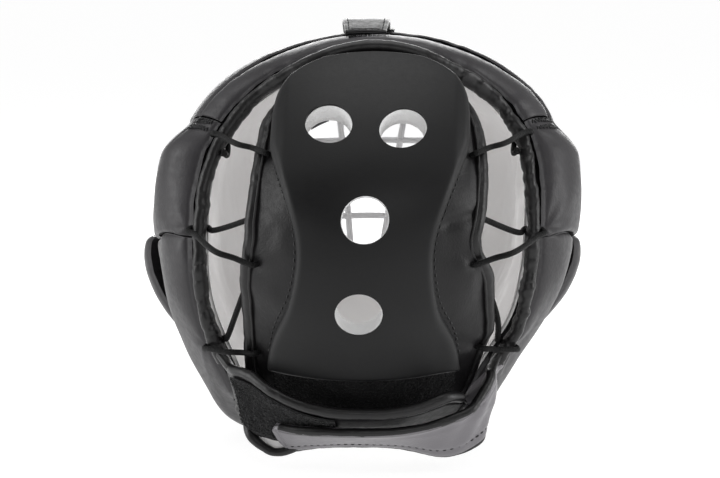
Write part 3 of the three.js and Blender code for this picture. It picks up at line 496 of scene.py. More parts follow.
def wire(tree, *links):
    """Each link is a node, its output, another node and its input."""
    for start, output, end, socket in links:
        tree.links.new(start.outputs[output], end.inputs[socket])


def finish(name, base, other, rough, grain, bump, depth, spread, slot=None, speck=0.0, sheen=0.0, specular=0.5):
    """A material with fine grain, uneven colour and uneven gloss, all in object space, and its slot."""
    made = bpy.data.materials.new(name)
    made.use_nodes = True
    tree = made.node_tree
    shader = tree.nodes["Principled BSDF"]
    set_inputs(shader, {"Specular IOR Level": specular, "Sheen Weight": sheen, "Sheen Roughness": 0.5})
    middle = {"From Min": 0.3, "From Max": 0.7}
    place = node_of(tree, "ShaderNodeTexCoord")
    broad = node_of(tree, "ShaderNodeTexNoise", {"Scale": spread, "Detail": 4.0})
    fine = node_of(tree, "ShaderNodeTexVoronoi", {"Scale": grain}, feature="SMOOTH_F1")
    creases = node_of(tree, "ShaderNodeTexNoise", {"Scale": grain * 0.35, "Detail": 5.0})
    ramp = node_of(tree, "ShaderNodeMapRange", middle)
    mix = node_of(tree, "ShaderNodeMix", data_type="RGBA")
    set_inputs(mix, {"A": (*base, 1), "B": (*other, 1)})
    gloss = node_of(tree, "ShaderNodeMapRange", {**middle, "To Min": rough[0], "To Max": rough[1]})
    total = node_of(tree, "ShaderNodeMath", operation="ADD")
    relief = node_of(tree, "ShaderNodeBump", {"Strength": bump, "Distance": depth})
    wire(tree, *((place, "Object", texture, "Vector") for texture in (broad, fine, creases)),
         (broad, "Fac", ramp, "Value"), (ramp, "Result", mix, "Factor"),
         (creases, "Fac", gloss, "Value"), (gloss, "Result", shader, "Roughness"),
         (fine, "Distance", total, 0), (creases, "Fac", total, 1),
         (total, "Value", relief, "Height"), (relief, "Normal", shader, "Normal"))
    colour = mix
    if speck:
        dots = node_of(tree, "ShaderNodeMapRange", {"To Min": 1 - speck, "To Max": 1 + speck})
        colour = node_of(tree, "ShaderNodeMix", {"Factor": 1.0}, data_type="RGBA", blend_type="MULTIPLY")
        wire(tree, (creases, "Fac", dots, "Value"), (mix, "Result", colour, "A"), (dots, "Result", colour, "B"))
    wire(tree, (colour, "Result", shader, "Base Color"))
    return made, slot or name


# Two colours, range of roughness, scale of the grain, strength and depth of its relief, scale of the colour
LEATHER = finish("black_leather", (0.020, 0.0185, 0.0205), (0.031, 0.029, 0.032), (0.38, 0.5),
                 900, 0.2, 0.0004, 22, specular=0.42)
# A lighter copy of the black leather for the right neck strap: painted light from the bright floor below
LIT_LEATHER = finish("lit_black_leather", (0.14, 0.133, 0.144), (0.17, 0.162, 0.174), (0.3, 0.4),
               900, 0.2, 0.0004, 24, "black_leather", specular=0.6)
EDGE = finish("black_edge", (0.005, 0.0047, 0.005), (0.009, 0.0085, 0.009), (0.3, 0.42),
              1100, 0.2, 0.0004, 40, specular=0.4)
# A darker copy of the black leather for the back panel, the left neck strap and the crown tab: painted shade
SHADED_LEATHER = finish("shaded_black_leather", (0.006, 0.0056, 0.006), (0.010, 0.0095, 0.0104), (0.34, 0.46),
                1000, 0.2, 0.0004, 30, "black_leather", specular=0.28)
FOAM = finish("matte_foam", (0.005, 0.005, 0.0054), (0.0068, 0.0068, 0.0072), (0.4, 0.48),
              1500, 0.08, 0.0003, 18, specular=0.26)
LINING = finish("white_lining", (0.86, 0.845, 0.84), (0.92, 0.91, 0.905), (0.5, 0.62), 1400, 0.15, 0.0003, 14)
WHITE_FOAM = finish("white_foam", (0.86, 0.86, 0.86), (0.92, 0.92, 0.92), (0.7, 0.85),
                    1300, 0.5, 0.0006, 60, "white_lining")
FUZZ = finish("fuzzy_loop", (0.006, 0.006, 0.0065), (0.011, 0.011, 0.012), (0.85, 0.95),
              700, 0.9, 0.001, 90, speck=0.5, sheen=0.1)
CORD = finish("elastic_cord", (0.004, 0.004, 0.004), (0.007, 0.007, 0.0073), (0.5, 0.65),
              1500, 0.7, 0.0006, 120, speck=0.3, specular=0.18)
THREAD = finish("black_thread", (0.007, 0.007, 0.0075), (0.02, 0.02, 0.021), (0.4, 0.55),
                2500, 0.6, 0.0004, 200, "elastic_cord")
STEEL = finish("pale_wire", (0.74, 0.74, 0.75), (0.8, 0.8, 0.81), (0.3, 0.42), 800, 0.1, 0.0003, 60)


# Padded outer pieces
def puckers(distance, run_along, seed, high=0.6, reach=7.0, period=6.0):
    """Small gathers that run away from a seam and die out."""
    return high * np.exp(-distance / reach) * waves(run_along / period, seed, distance / 26)


def seam(d, share=0.8, crisp=3.5, round=12.0):
    """Share of a pad's height at a distance from a seam."""
    return share + (1 - share) * (0.6 * shoulder(d, crisp) + 0.4 * shoulder(d, round))


def edge(d, width, high):
    """Share of a pad's height at a distance from an open edge."""
    return OUTER_EDGE / high + (1 - OUTER_EDGE / high) * shoulder(d, width)


def crown_level(u):
    """Height of the crown's pads along the seam over the temples."""
    rear = 13.5 * seam((u - REAR_SEAM) * HOOD_LENGTH) * edge((1 - u) * HOOD_LENGTH, 26, 13.5)
    front = 14.5 * seam((u - FRONT_SEAM) * HOOD_LENGTH) * seam((REAR_SEAM - u) * HOOD_LENGTH)
    return 0.92 * np.where(u > REAR_SEAM, rear, front)


def pad_height(name, pad, u, t, seed):
    """Height of a pad's leather over the hood's surface, with the gathers at its seams and lace holes."""
    u0, u1, a0, a1, high, rear_round = pad
    a = np.abs(t)
    if name == "cheek":
        high = high + CHEEKBONE["high"] * np.exp(-((u - CHEEKBONE["u"]) / CHEEKBONE["wide_u"]) ** 2
                                                 - ((a - CHEEKBONE["a"]) / CHEEKBONE["wide_a"]) ** 2)
    high = high * (1 + CROWN_SWELL.get(name, 0) * smooth((a - 0.12) / 0.22))
    front, rear = (u - u0) * HOOD_LENGTH, (u1 - u) * HOOD_LENGTH
    upper, lower = (a - a0) * HOOP_LENGTH, (a1 - a) * HOOP_LENGTH
    along_u, along_t = u * HOOD_LENGTH, t * HOOP_LENGTH
    share = np.where(a > CHIN_TOP, seam(front), edge(front, FACE_ROUND, high)) if u0 == 0 else seam(front)
    share = share * (edge(rear, rear_round, high) if u1 == 1 else seam(rear))
    gather = 0
    if a0 > 0:
        if name == "front_temple":
            share = share * (0.7 + 0.3 * smooth(upper / TEMPLE_RAMP))
        elif name != "temple":
            share = share * seam(upper)
        gather = gather + puckers(upper, along_u, seed + 1)
    if a1 == 1:
        share = share * edge(lower, RIM_ROUND, high)
    else:
        share = share * (seam(lower) if a0 else seam(lower, 0.92, 2.5, 6.0))
    gather = gather + puckers(lower, along_u, seed + 2) + puckers(rear, along_t, seed + 3, 0.7 if u1 == 1 else 0.5)
    if u0 > 0:
        gather = gather + puckers(front, along_t, seed + 4, 0.5)
    for eyelet, _ in EYELETS if u1 == 1 else ():
        down = (a - eyelet) * HOOP_LENGTH
        far, ray = np.hypot(rear, down), np.arctan2(down, rear)
        pull = (0.9 if np.max(t) > 0 else 0.5) * (1.0 if eyelet > 0.5 else 0.4)
        gather = gather - pull * np.exp(-far / 15) * np.cos(6.5 * ray + seed) * smooth(far / 4)
    total = high * share
    if name == "temple":
        total = total + (crown_level(u) - total) * (1 - smooth(upper / TEMPLE_RAMP))
    return np.maximum(OUTER_EDGE - 0.6, total + gather)


def spread_lines(first, last, count):
    """Lines across a pad, closer together at its two sides."""
    k = np.linspace(0, 1, count)
    return first + (last - first) * (0.55 * k + 0.45 * (0.5 - 0.5 * np.cos(math.pi * k)))


def pad_grids(name, pad, side, seed):
    """Outer and inner points of a pad, a little slack before its filling presses it out."""
    u0, u1, a0, a1 = pad[:4]
    gap_u, gap_a = SEAM_GAP / 112, SEAM_GAP / 232
    us = spread_lines(u0 + gap_u, u1 - (gap_u if u1 < 1 else 0), int((u1 - u0) * HOOD_LENGTH / 1.5) + 8)
    count = int((a1 - a0) * HOOP_LENGTH / 1.6) + 8
    low, top = a0 + (gap_a if a0 else 0), a1 - (gap_a if a1 < 1 else 0)
    u, t = crossed(us, side * spread_lines(low, top, count) if side else spread_lines(-top, top, 2 * count))
    p, n, _, _ = on_hood(u, t)
    height = pad_height(name, pad, u, t, seed)
    outer = p + scaled(n, height - 0.4 * smooth((height - OUTER_EDGE) / 10))
    soft = noise(outer / 34, seed + 11) * 0.9 + noise(outer / 15, seed + 12) * 0.35
    outer = outer + scaled(n, soft * smooth((height - OUTER_EDGE) / 6))
    return outer, p - scaled(n, inner_depth(u, np.abs(t)))


def swollen(grids, most=2.0, frames=16):
    """Movement of every pad's leather under its filling, from coarse copies pressed out as cloth.

    Each copy is held at its rim and inside. Its movement is scaled, up to three times or down to the most allowed.
    """
    picks = [[np.unique(np.linspace(0, size - 1, size // 4).astype(int)) for size in outer.shape[:2]]
             for outer, _ in grids]
    points, faces = joined([slab(outer[np.ix_(i, j)], inner[np.ix_(i, j)])
                            for (outer, inner), (i, j) in zip(grids, picks)])
    made = mesh_object("swelling", points * MM, faces)
    held, firsts, first = [], [], 0
    for i, j in picks:
        number = np.arange(len(i) * len(j)).reshape(len(i), len(j))
        free = np.zeros(number.shape, bool)
        free[1:-1, 1:-1] = True
        held += (first + number[~free]).tolist() + (first + number.size + number.ravel()).tolist()
        firsts.append(first)
        first += 2 * number.size
    made.vertex_groups.new(name="held").add(held, 1.0, "REPLACE")
    cloth = made.modifiers.new("swelling", "CLOTH").settings
    cloth.quality, cloth.mass, cloth.vertex_group_mass = 5, 0.3, "held"
    cloth.tension_stiffness = cloth.compression_stiffness = cloth.shear_stiffness = 5
    cloth.use_pressure, cloth.uniform_pressure_force = True, 4
    cloth.effector_weights.gravity = 0
    for frame_number in range(1, frames + 1):
        bpy.context.scene.frame_set(frame_number)
    moved = np.empty(len(points) * 3)
    made.evaluated_get(bpy.context.evaluated_depsgraph_get()).data.vertices.foreach_get("co", moved)
    moved = moved.reshape(-1, 3) / MM - points
    bpy.data.objects.remove(made)
    bpy.context.scene.frame_set(1)
    fine = []
    for (outer, _), (i, j), first in zip(grids, picks, firsts):
        m = moved[first:first + len(i) * len(j)].reshape(len(i), len(j), 3)
        m = m * min(3, most / max(np.linalg.norm(m, axis=-1).max(), 1e-6))
        rows, columns = np.arange(outer.shape[0]), np.arange(outer.shape[1])
        m = np.stack([[np.interp(rows, i, m[:, b, c]) for b in range(len(j))] for c in range(3)], axis=-1)
        m = np.stack([[np.interp(columns, j, m[:, a, c]) for a in range(len(rows))] for c in range(3)], axis=-1)
        for axis in (0, 1):
            wide = np.pad(m, [(4, 4) if axis == k else (0, 0) for k in range(3)], mode="edge")
            m = sum(np.take(wide, np.arange(k, k + m.shape[axis]), axis=axis) for k in range(9)) / 9
        fine.append(m)
    return fine


def pad_seed(name, side):
    return 20 * list(PADS).index(name) + PAD_SEEDS[side]


pads = {}
for name, pad in PADS.items():
    for end, side in SIDES if pad[2] else ((None, 0),):
        pads[f"{name}_{end}" if end else name] = pad_grids(name, pad, side, pad_seed(name, side))
movement = swollen(list(pads.values()))
for (name, (outer, inner)), moved in zip(pads.items(), movement):
    piece(name, slab(outer + moved, inner), LEATHER)

# Chin guard
s, a = crossed(spread_lines(-0.9896, 0.9896, 96), spread_lines(CHIN_TOP, 1, 54))
p, n, _, _ = on_chin(s, a)
ends, below = (1 - np.abs(s)) * CHIN_HALF, (1 - a) * HOOP_LENGTH
height = (CHIN_THICK - OUTER_EDGE) * (0.55 + 0.45 * shoulder(ends, 9))
height = height * shoulder((a - CHIN_TOP) * HOOP_LENGTH, FACE_ROUND) * shoulder(below, RIM_ROUND)
height = OUTER_EDGE + height + puckers(ends, a * HOOP_LENGTH, 301) + puckers(below, s * CHIN_HALF, 302)
height = height + 0.8 * noise(p / 30, 303) * smooth((height - OUTER_EDGE) / 5)
piece("chin_guard", shell(p, n, height, -chin_depth(a)), LEATHER)

# White lining, with the seams and soft creases of its panels
u, t = crossed(np.linspace(0, 1, 76), np.linspace(-1, 1, 240))
p, n, _, _ = on_hood(u, t)
a = np.abs(t)
groove = sum(hump(d, 0, 2.2) for d in (
    (u - 0.42 - 0.1 * np.sin(3 * a)) * HOOD_LENGTH, (a - 0.36) * HOOP_LENGTH, (a - 0.62 + 0.1 * u) * HOOP_LENGTH))
slant = (0.9 * u * HOOD_LENGTH + 0.6 * a * HOOP_LENGTH + 9 * noise(p / 40, 403)) % 38 - 19
soft = 1.3 * noise(p / 26, 401) + 0.5 * noise(p / 11, 402) + 1.3 * hump(slant, 0, 4.5)
soft = (0.9 + soft - 0.9 * np.clip(groove, 0, 1)) * smooth(np.minimum(u, 1 - u) * 12)
depth = inner_depth(u, a) + GAP
piece("hood_lining", shell(p, n, -depth, -(depth + LINING_THICK + soft)), LINING)
s, a = crossed(np.linspace(-0.86, 0.86, 80), np.linspace(CHIN_TOP, 1, 40))
p, n, _, _ = on_chin(s, a)
depth = chin_depth(a) + 2 * GAP
soft = (0.8 + 0.8 * noise(p / 22, 411)) * smooth((a - CHIN_TOP) * 20) * smooth((1 - a) * 20)
piece("chin_lining", shell(p, n, -depth, -(depth + LINING_THICK + soft)), LINING)

# Rolled edges
WEBBED = np.array([(0.1, -1.6), (1.4, -1.7), (2.6, -1.5)])


def gathered_roll(path, n, away, centre, radius, seed, strength, webbed=False, sides=22):
    """A soft rolled edge, gathered into small uneven folds; a webbed one has a flat root on the shell."""
    s = run(path)[:, None]
    opening = 0.5 if webbed else 0.0
    turn = np.linspace(-math.pi + opening, math.pi - opening, sides, endpoint=webbed)
    strength = np.broadcast_to(np.asarray(strength, float), len(s))[:, None]
    fold = waves((s + 1.3 * turn) / 5.2, seed) * 0.75 + waves((s - 0.8 * turn) / 9.5, seed + 3) * 0.6
    creases = -np.clip(np.abs(waves((s + 2.2 * np.abs(turn)) / 7.0, seed + 5)) * -2.2 + 0.5, 0, 1)
    r = radius * (1 + strength * (0.2 * fold + 0.2 * creases))
    shift = strength ** 2 * (1.3 * waves(s / 13, seed + 9) + 1.0 * waves(s / 7, seed + 10))
    x = centre + shift + r * np.cos(turn)
    y = r * np.sin(turn) + strength * 0.5 * waves(s / 13, seed + 13)
    if webbed:
        web = np.broadcast_to(WEBBED, (len(s), *WEBBED.shape))
        x = np.concatenate([web[..., 0], x, web[:, ::-1, 0]], axis=1)
        y = np.concatenate([web[..., 1], y, -web[:, ::-1, 1]], axis=1)
    return loft(swept(path, away, x, n, y))


t = np.linspace(-STRAP_TOP, STRAP_TOP, 620)
p, n, away, _ = rear_edge(t)
strength = 0.25 + 0.95 * smooth((np.abs(t) - 0.14) / 0.14) * np.where(t > 0, 1.0, 0.55)
piece("rear_binding", gathered_roll(p, n, away, REAR_ROLL, REAR_ROLL_RADIUS, 501, strength, True), EDGE)
face_line = face_edge(np.linspace(-CHIN_TOP + 0.012, CHIN_TOP - 0.012, 420))
chin_line = chin_edge(np.linspace(-0.84, 0.84, 200))
for name, line, seed in (("face_binding", face_line, 521), ("chin_binding", chin_line, 541)):
    piece(name, gathered_roll(*line, GAP + ROLL, ROLL_RADIUS, seed, 0.45), EDGE)

# Rim that the headgear stands on: flat below, rounded outside and inside
us = np.linspace(1, 0, 150)
path = spaced(np.concatenate([hood(us, -np.ones_like(us)), chin(np.linspace(-1, 1, 120)[1:-1], np.ones(118)),
                              hood(us[::-1], np.ones_like(us))]), 560)
way = unit(np.gradient(path, axis=0))
out = unit(xyz(-way[:, 1], way[:, 0], 0.0))
section = [(4.7 + 0.9 * math.sin(k), 2.0 - 2.0 * math.cos(k)) for k in np.linspace(0, math.pi, 9)]
section = section + [(-x, y) for x, y in section[::-1]]
s = run(path)
wob = 0.5 * waves(s / 7, 561)
thin = 0.2 + 0.8 * smooth(np.minimum(s, s[-1] - s) / 16)
rings = np.stack([path + scaled(out, thin * (x + (wob * np.sign(x) if 0.3 < y < 3.7 else 0)))
                  + xyz(0.0, 0.0, (y - 4) * thin + 4 - HOOD_FOOT) for x, y in section], axis=1)
piece("rim_binding", loft(rings), EDGE)


# Back panel: flange, raised pad and vents
def flange_half(row, side):
    return np.where(np.asarray(side) < 0, along(PANEL, "left", row), along(PANEL, "right", row))


def pad_half(row):
    """Half width of the raised pad: an hourglass with a rounded head."""
    row = np.asarray(row, float)
    head = np.clip((row - PAD_SHOULDER_ROW) / PAD_HEAD_ROWS, 0, 1)
    rounded = PAD_SHOULDER * np.clip(1 - head ** 3.6, 0, 1) ** (1 / 2.4)
    return np.where(row > PAD_SHOULDER_ROW, rounded, along(PANEL, "pad", np.minimum(row, PAD_SHOULDER_ROW)))


def eyelet_row(number, side):
    return EYELETS[number][1] + (0.05 if number == 2 and side > 0 else 0)


def flange_place(row, side, inset):
    """A place on the panel at a distance inside its edge."""
    return panel_frame(row, side * (flange_half(row, side) - inset))


def panel_wrinkles(row, x):
    """Pulls at the lace holes, and soft folds across the flange."""
    p = panel_frame(row, x)[0]
    total = 0.9 * noise(p / 24, 601) + 0.4 * noise(p / 10, 602)
    for _, side in SIDES:
        for number in range(len(EYELETS)):
            off = p - flange_place(eyelet_row(number, side), side, EYELET_INSET)[0]
            far = np.linalg.norm(off, axis=-1)
            ray = np.arctan2(off[..., 2], np.abs(off[..., 0]))
            pull = (0.6 if side > 0 else 0.3) * np.exp(-far / 19) * np.sin(3 * ray + number + side)
            total = total - 0.8 * hump(far, 0, 4) + pull * smooth(far / 9)
    bulge, fold = panel_frame(2.35, 54)[0], panel_frame(3.75, 52)[0]
    total = total + 2.6 * np.exp(-np.sum(((p - bulge) / np.array([11, 14, 13])) ** 2, axis=-1))
    tilt = (p - fold)[..., 2] - 0.25 * (p - fold)[..., 0]
    return total - 1.5 * hump(tilt, 0, 3.4) * smooth((x - 36) / 8)


def panel_sheet(rows, shares, half, over, under):
    """A sheet on the panel between two heights, each one number or a function of the place."""
    row, share = crossed(rows, shares)
    x = share * half(row, share)
    p, n, _, _ = panel_frame(row, x)
    return shell(p, n, *(high(row, x) if callable(high) else high for high in (over, under)))


def vent_frame(vx, vrow):
    """Centre and directions of a vent, skewed to lie level on the curved pad."""
    _, axis, rise, across = panel_frame(vrow, 0)
    skew = 1.1 * vx * (1 / PANEL_ROUND - 2 * PAD_FLAT / PAD_FLAT_REACH ** 2)
    return panel_frame(vrow, vx)[0], axis, rise, across + skew * rise


CIRCLE = np.linspace(0, 2 * math.pi, 96, endpoint=False)


def drilled(made, radius, sharp):
    """Cuts the round vents through a piece."""
    turn = CIRCLE[:, None]
    bodies = []
    for vx, vrow in VENTS:
        c, axis, rise, across = vent_frame(vx, vrow)
        ring = c + radius * (np.cos(turn) * across + np.sin(turn) * rise)
        bodies.append(loft(np.stack([ring + axis * level for level in (-16, 0, 24)])))
    points, faces = joined(bodies)
    tool = mesh_object("cutter", (settle(points) + SHIFT) * MM, faces)
    step = made.modifiers.new("vents", "BOOLEAN")
    step.operation, step.solver, step.object = "DIFFERENCE", "EXACT", tool
    bpy.context.view_layer.update()
    mesh = bpy.data.meshes.new_from_object(made.evaluated_get(bpy.context.evaluated_depsgraph_get()))
    made.modifiers.clear()
    made.data = mesh
    bpy.data.objects.remove(tool)
    smooth_shaded(mesh)
    mesh.set_sharp_from_angle(angle=math.radians(sharp))


def flange_over(row, x):
    covered = smooth((pad_half(row) - np.abs(x)) / 6) * smooth((row - 0.5) * 5)
    calm = (1 - covered) * smooth((PANEL_HEAD - row) / 0.6) * smooth((row - PANEL_FOOT) / 0.5)
    return PANEL_THICK / 2 + panel_wrinkles(row, x) * calm - 0.6 * covered


def inside_under(row, x):
    return -PANEL_THICK / 2 - 0.3 + 0.4 * noise(panel_frame(row, x)[0] / 14, 611)


def pad_over(row, x):
    slope = (pad_half(row + 0.01) - pad_half(row - 0.01)) / (0.02 * ROW_LENGTH)
    side = shoulder((pad_half(row) - np.abs(x)) / np.sqrt(1 + slope ** 2), PAD_BEVEL)
    top = shoulder((PAD_TOP - row) * ROW_LENGTH, PAD_BEVEL)
    foot = 0.62 + 0.38 * shoulder((row - PAD_BOTTOM) * ROW_LENGTH, 3)
    flat = PAD_FLAT * (np.minimum(np.abs(x), PAD_FLAT_REACH) / PAD_FLAT_REACH) ** 2 * smooth((row - 3.2) / 1.2)
    raised = (PAD_RAISE - 1.2 + flat) * np.minimum(np.minimum(side, top), foot)
    return PANEL_THICK / 2 + 1.2 + raised + 0.25 * noise(panel_frame(row, x)[0] / 30, 621)


rows, shares = np.linspace(PANEL_FOOT, PANEL_HEAD, 212), np.linspace(-1, 1, 122)
body = panel_sheet(rows, shares, flange_half, flange_over, -PANEL_THICK / 2 + 0.9)
# The panel's flange takes the darker copy of the black leather: painted shade
drilled(piece("back_panel", body, SHADED_LEATHER), VENT + 0.6, 45)
body = panel_sheet(rows[4:-4:2], shares[::2] * 0.985, flange_half, -PANEL_THICK / 2 + 0.6, inside_under)
drilled(piece("back_panel_inside", body, LINING, added=True), VENT + 0.6, 45)
rows = np.concatenate([np.linspace(PAD_BOTTOM, PAD_BOTTOM + 0.1, 7)[:-1],
                       np.linspace(PAD_BOTTOM + 0.1, 5.8, 140)[:-1], np.linspace(5.8, PAD_TOP, 72)])
shares = np.concatenate([-1 + 0.16 * np.linspace(0, 1, 11)[:-1] ** 1.4, np.linspace(-0.84, 0.84, 76)[:-1],
                         1 - 0.16 * np.linspace(1, 0, 11) ** 1.4])
body = panel_sheet(rows, shares, lambda row, _: pad_half(row), pad_over, PANEL_THICK / 2 + 0.7)
drilled(piece("back_pad", body, FOAM), VENT, 50)

# Pale foam walls inside the vents: share of the way down and distance from the vent's edge
VENT_WALL = [(0, -0.05), (0.05, -0.3), (0.35, -0.45), (0.7, -0.45), (1, -0.4), (1, 1.5), (0.5, 1.6), (0.1, 0.7)]
bodies = []
for number, (vx, vrow) in enumerate(VENTS):
    c, axis, rise, across = vent_frame(vx, vrow)
    ring = np.cos(CIRCLE)[:, None] * across + np.sin(CIRCLE)[:, None] * rise
    length = np.linalg.norm(panel_frame(vrow + 0.5, 0)[0] - panel_frame(vrow - 0.5, 0)[0])
    row, x = vrow + VENT * ring @ rise / length, vx + VENT * ring[:, 0]
    p, n, _, _ = panel_frame(row, x)
    brim, foot = (p + scaled(n, pad_over(row, x) - 0.8) - c) @ axis, (p - n * 1.7 - c) @ axis
    rings = []
    for k, away in VENT_WALL:
        grainy = VENT + away + 0.08 * waves(CIRCLE * 7, 631 + number, 3 * k)
        rings.append(c + scaled(ring, grainy) + (brim * (1 - k) + foot * k)[:, None] * axis)
    bodies.append(loft(np.stack(rings, axis=0), ringed=True))
piece("vent_walls", joined(bodies), WHITE_FOAM, added=True)

# Bound edges of the panel: a folded strip with a ridge along its seam
SECTION = np.array([
    (-2.2, 1.6), (-2.0, 2.6), (-1.3, 3.0), (-0.6, 2.6), (-0.3, 1.8), (0.2, 1.8), (0.7, 2.6), (3.0, 3.0), (5.4, 2.4),
    (6.8, 1.0), (7.1, 0.0), (6.7, -1.2), (5.2, -2.3), (2.4, -2.7), (0.4, -2.5), (-1.0, -2.2), (-1.3, -1.7)])
for name, side in SIDES:
    p, n, _, across = flange_place(np.linspace(STRIP_FOOT, BINDING_TOP - 0.05, 270), side, 0)
    s = run(p)[:, None]
    x = SECTION[:, 0] + 0.45 * waves(s / 9, 651 + side)
    y = SECTION[:, 1] + 0.35 * waves(s / 6, 655 + side) * np.sign(SECTION[:, 1])
    piece("back_binding_" + name, loft(swept(p, side * across, x, n, y)), EDGE)


# Stitches, as short thread ends along a seam
def stitches(path, n, length=3.0, pitch=4.4, radius=0.42, lift=0.15):
    total = run(path)
    count = max(2, int(total[-1] / pitch))
    k = np.linspace(-0.5, 0.5, 6)
    turn = 2 * math.pi * np.arange(6) / 6
    r = (radius * np.sqrt(np.clip(1 - (2 * k) ** 4, 0.08, 1)))[:, None]
    arch = (lift - 0.5 * (2 * k) ** 2)[:, None]
    bodies = []
    for middle in (np.arange(count) + 0.5) * total[-1] / count:
        c, up = placed(middle + k * length, total, path), unit(placed(middle + k * length, total, n))
        side = np.cross(up, unit(c[-1] - c[0]))
        bodies.append(loft(swept(c, up, arch + r * np.sin(turn), side, r * 1.2 * np.cos(turn))))
    return bodies


bodies = []
for _, side in SIDES:
    rows = np.linspace(0.75, 6.3, 400)
    x = side * (pad_half(rows) + 2.4)
    p, n, _, _ = panel_frame(rows, x)
    bodies += stitches(p + scaled(n, flange_over(rows, x)), n)
piece("panel_stitches", joined(bodies), THREAD, added=True)

bodies = []
zigzag = 0.006 * np.where(np.arange(24) % 2, 1, -1)
for _, side in SIDES:
    u = np.linspace(0.8, 0.985, 24)
    for below in (0.008, 0.024):
        t = side * (CROWN_SEAM + below + zigzag)
        p, n, _, _ = on_hood(u, t)
        high = pad_height("temple", PADS["temple"], u, t, pad_seed("temple", side))
        bodies += stitches(p + scaled(n, high), n, 2.6, 3.6, 0.4, 0.35)
piece("seam_stitches", joined(bodies), THREAD, added=True)


# Laces through their eyelets, with the route of the solids
def lace_route(side):
    """Points of a lace: over the shell's roll, down through the flange's eyelet and back behind the flange."""
    points = []
    behind = ROLL + LACE + 1
    for number, (shell, _) in enumerate(EYELETS):
        at = eyelet_row(number, side)
        p, n, u, _ = rear_edge(side * shell)
        eye, roll = p + u * (GAP + WEB) / 2, p + u * (WEB + 4)
        if number == 0:
            q, q_n, q_u, _ = rear_edge(side * (shell + 0.028))
            points += [q + q_u * (WEB + 8.6) - q_n * (ROLL - 0.6), q + q_u * (WEB + 4) - q_n * behind]
        else:
            points.append(roll - n * behind)
        points += [eye - 4.6 * n, eye - 2.2 * n, eye + 2.2 * n, eye + 4.6 * n + 0.6 * u, roll + n * (behind + 0.1),
                   p + u * (WEB + 6.6 + LACE + 1) + n * ROLL]
        e, e_n, _, across = flange_place(at, side, EYELET_INSET)
        first, last = points[-1], e + 4 * e_n
        for share, clear in ((0.45, 5.0), (0.7, 4.4)):
            q = first + (last - first) * share
            reach = np.clip(q[0], -float(flange_half(at, -1)) - 2, float(flange_half(at, 1)) + 2)
            strip = panel_frame(np.linspace(0, 7, 140), reach)[0]
            surface = np.interp(q[2], strip[:, 2], strip[:, 1])
            points.append(np.array([q[0], min(q[1], surface - clear), q[2]]))
        points += [e + 4 * e_n + 0.6 * side * across, e + 1.8 * e_n, e - 1.8 * e_n]
        if number < len(EYELETS) - 1:
            back = at - (1.1, 0.55)[number]
            m, m_n, _, _ = flange_place(back, side, PANEL_ROLL / 2)
            b, b_n, _, _ = flange_place(back, side, -PANEL_ROLL)
            points += [e - 4 * e_n + 0.6 * side * across, m - m_n * (PANEL_ROLL + LACE),
                       b - b_n * (PANEL_ROLL + LACE + 1)]
        else:
            points += [e - 4.5 * e_n, e - 7 * e_n]
    return np.array(points)


def braided(path, radius, seed, sides=14):
    s, turn = run(path)[:, None], 2 * math.pi * np.arange(sides) / sides
    braid = 0.05 * np.cos(4 * turn + s * 2.4) * np.cos(4 * turn - s * 2.4)
    return tube(path, radius * (1 + braid + 0.03 * waves(s / 6, seed)), sides)


def knot(start, way):
    """A small overhand knot at the end of a lace."""
    flat = unit(np.cross(way, UP))
    lift = np.cross(way, flat)
    k = np.linspace(0, 2 * math.pi, 60)[:-1, None]
    path = start + (np.sin(k) + 2 * np.sin(2 * k)) * flat * 0.45 + (np.cos(k) - 2 * np.cos(2 * k)) * lift * 0.45
    return tube(path - np.sin(3 * k) * way * 0.6, 0.9, 10, ringed=True)


for name, side in SIDES:
    route = lace_route(side)
    bodies = [braided(spline(route, 700), LACE, 701), knot(route[0], unit(route[0] - route[1]))]
    piece("lace_" + name, joined(bodies), CORD)


# Neck straps
def inner_layer(turn):
    """The inner strap starts at the outer strap's level and steps in behind it."""
    return LAYER * smooth((turn + QUARTER) / (0.42 * QUARTER))


def strap_section():
    """Half thickness at places across a strap's width, from its lower edge to its upper edge."""
    v = edged(0.9, 6, 40)
    thick = STRAP_THICK / 2 * shoulder((1 - np.abs(v)) * STRAP_WIDE / 2, 2.2)
    hem = 0.55 * np.exp(-((v + 0.66) * STRAP_WIDE / 2 / 0.9) ** 2)
    hem = hem + 0.45 * np.exp(-((v - 0.74) * STRAP_WIDE / 2 / 0.9) ** 2)
    return v, np.maximum(thick, 0.15) - hem * (np.abs(v) < 0.95)


def droop(p, share, side):
    """Each strap's lower edge hangs at its own corner of the nape."""
    low = smooth((0.4 - share) / 1.4) * hump(side * p[..., 0], 48, 20) * smooth((-60 - p[..., 1]) / 16)
    return p - xyz(4.0 * low * (side < 0), 0.0, 9.0 * low)


def strap_root(s):
    """A strap's lower edge runs up to the corner of the jaw that it is sewn to."""
    return 0.55 + 0.45 * smooth(s / 20)


def right_folds(s, v):
    return 1.1 * hump(s, 40, 14) * np.sin(s * 0.35 + v * 3.2) * (0.6 + 0.4 * v)


def left_folds(s, v):
    seams = hump(s, 12, 0.9) + hump(s, 16, 0.9)
    return 0.8 * hump(s, 55, 22) * np.sin(s * 0.22 + v * 2.2) - 0.7 * seams


def right_shape(turns):
    """Share of the upper half that is left, how far the strap hangs, and how far its upper edge flares in."""
    q = turns / QUARTER
    upper = 1 - 0.6 * smooth((0.9 - q) / 0.3)
    hangs = 2 * smooth(1 - q) + 9 * smooth(-q / 0.45)
    flare = 6.5 * smooth((q - 0.45) / 0.3) * smooth((1.07 - q) / 0.25) - 7 * smooth((q - 0.95) / 0.1)
    return upper, hangs, flare


def left_shape(turns):
    dip = smooth((turns / QUARTER - 0.35) / 0.25)
    return 1 - 0.5 * dip, 4 * dip, 0 * dip


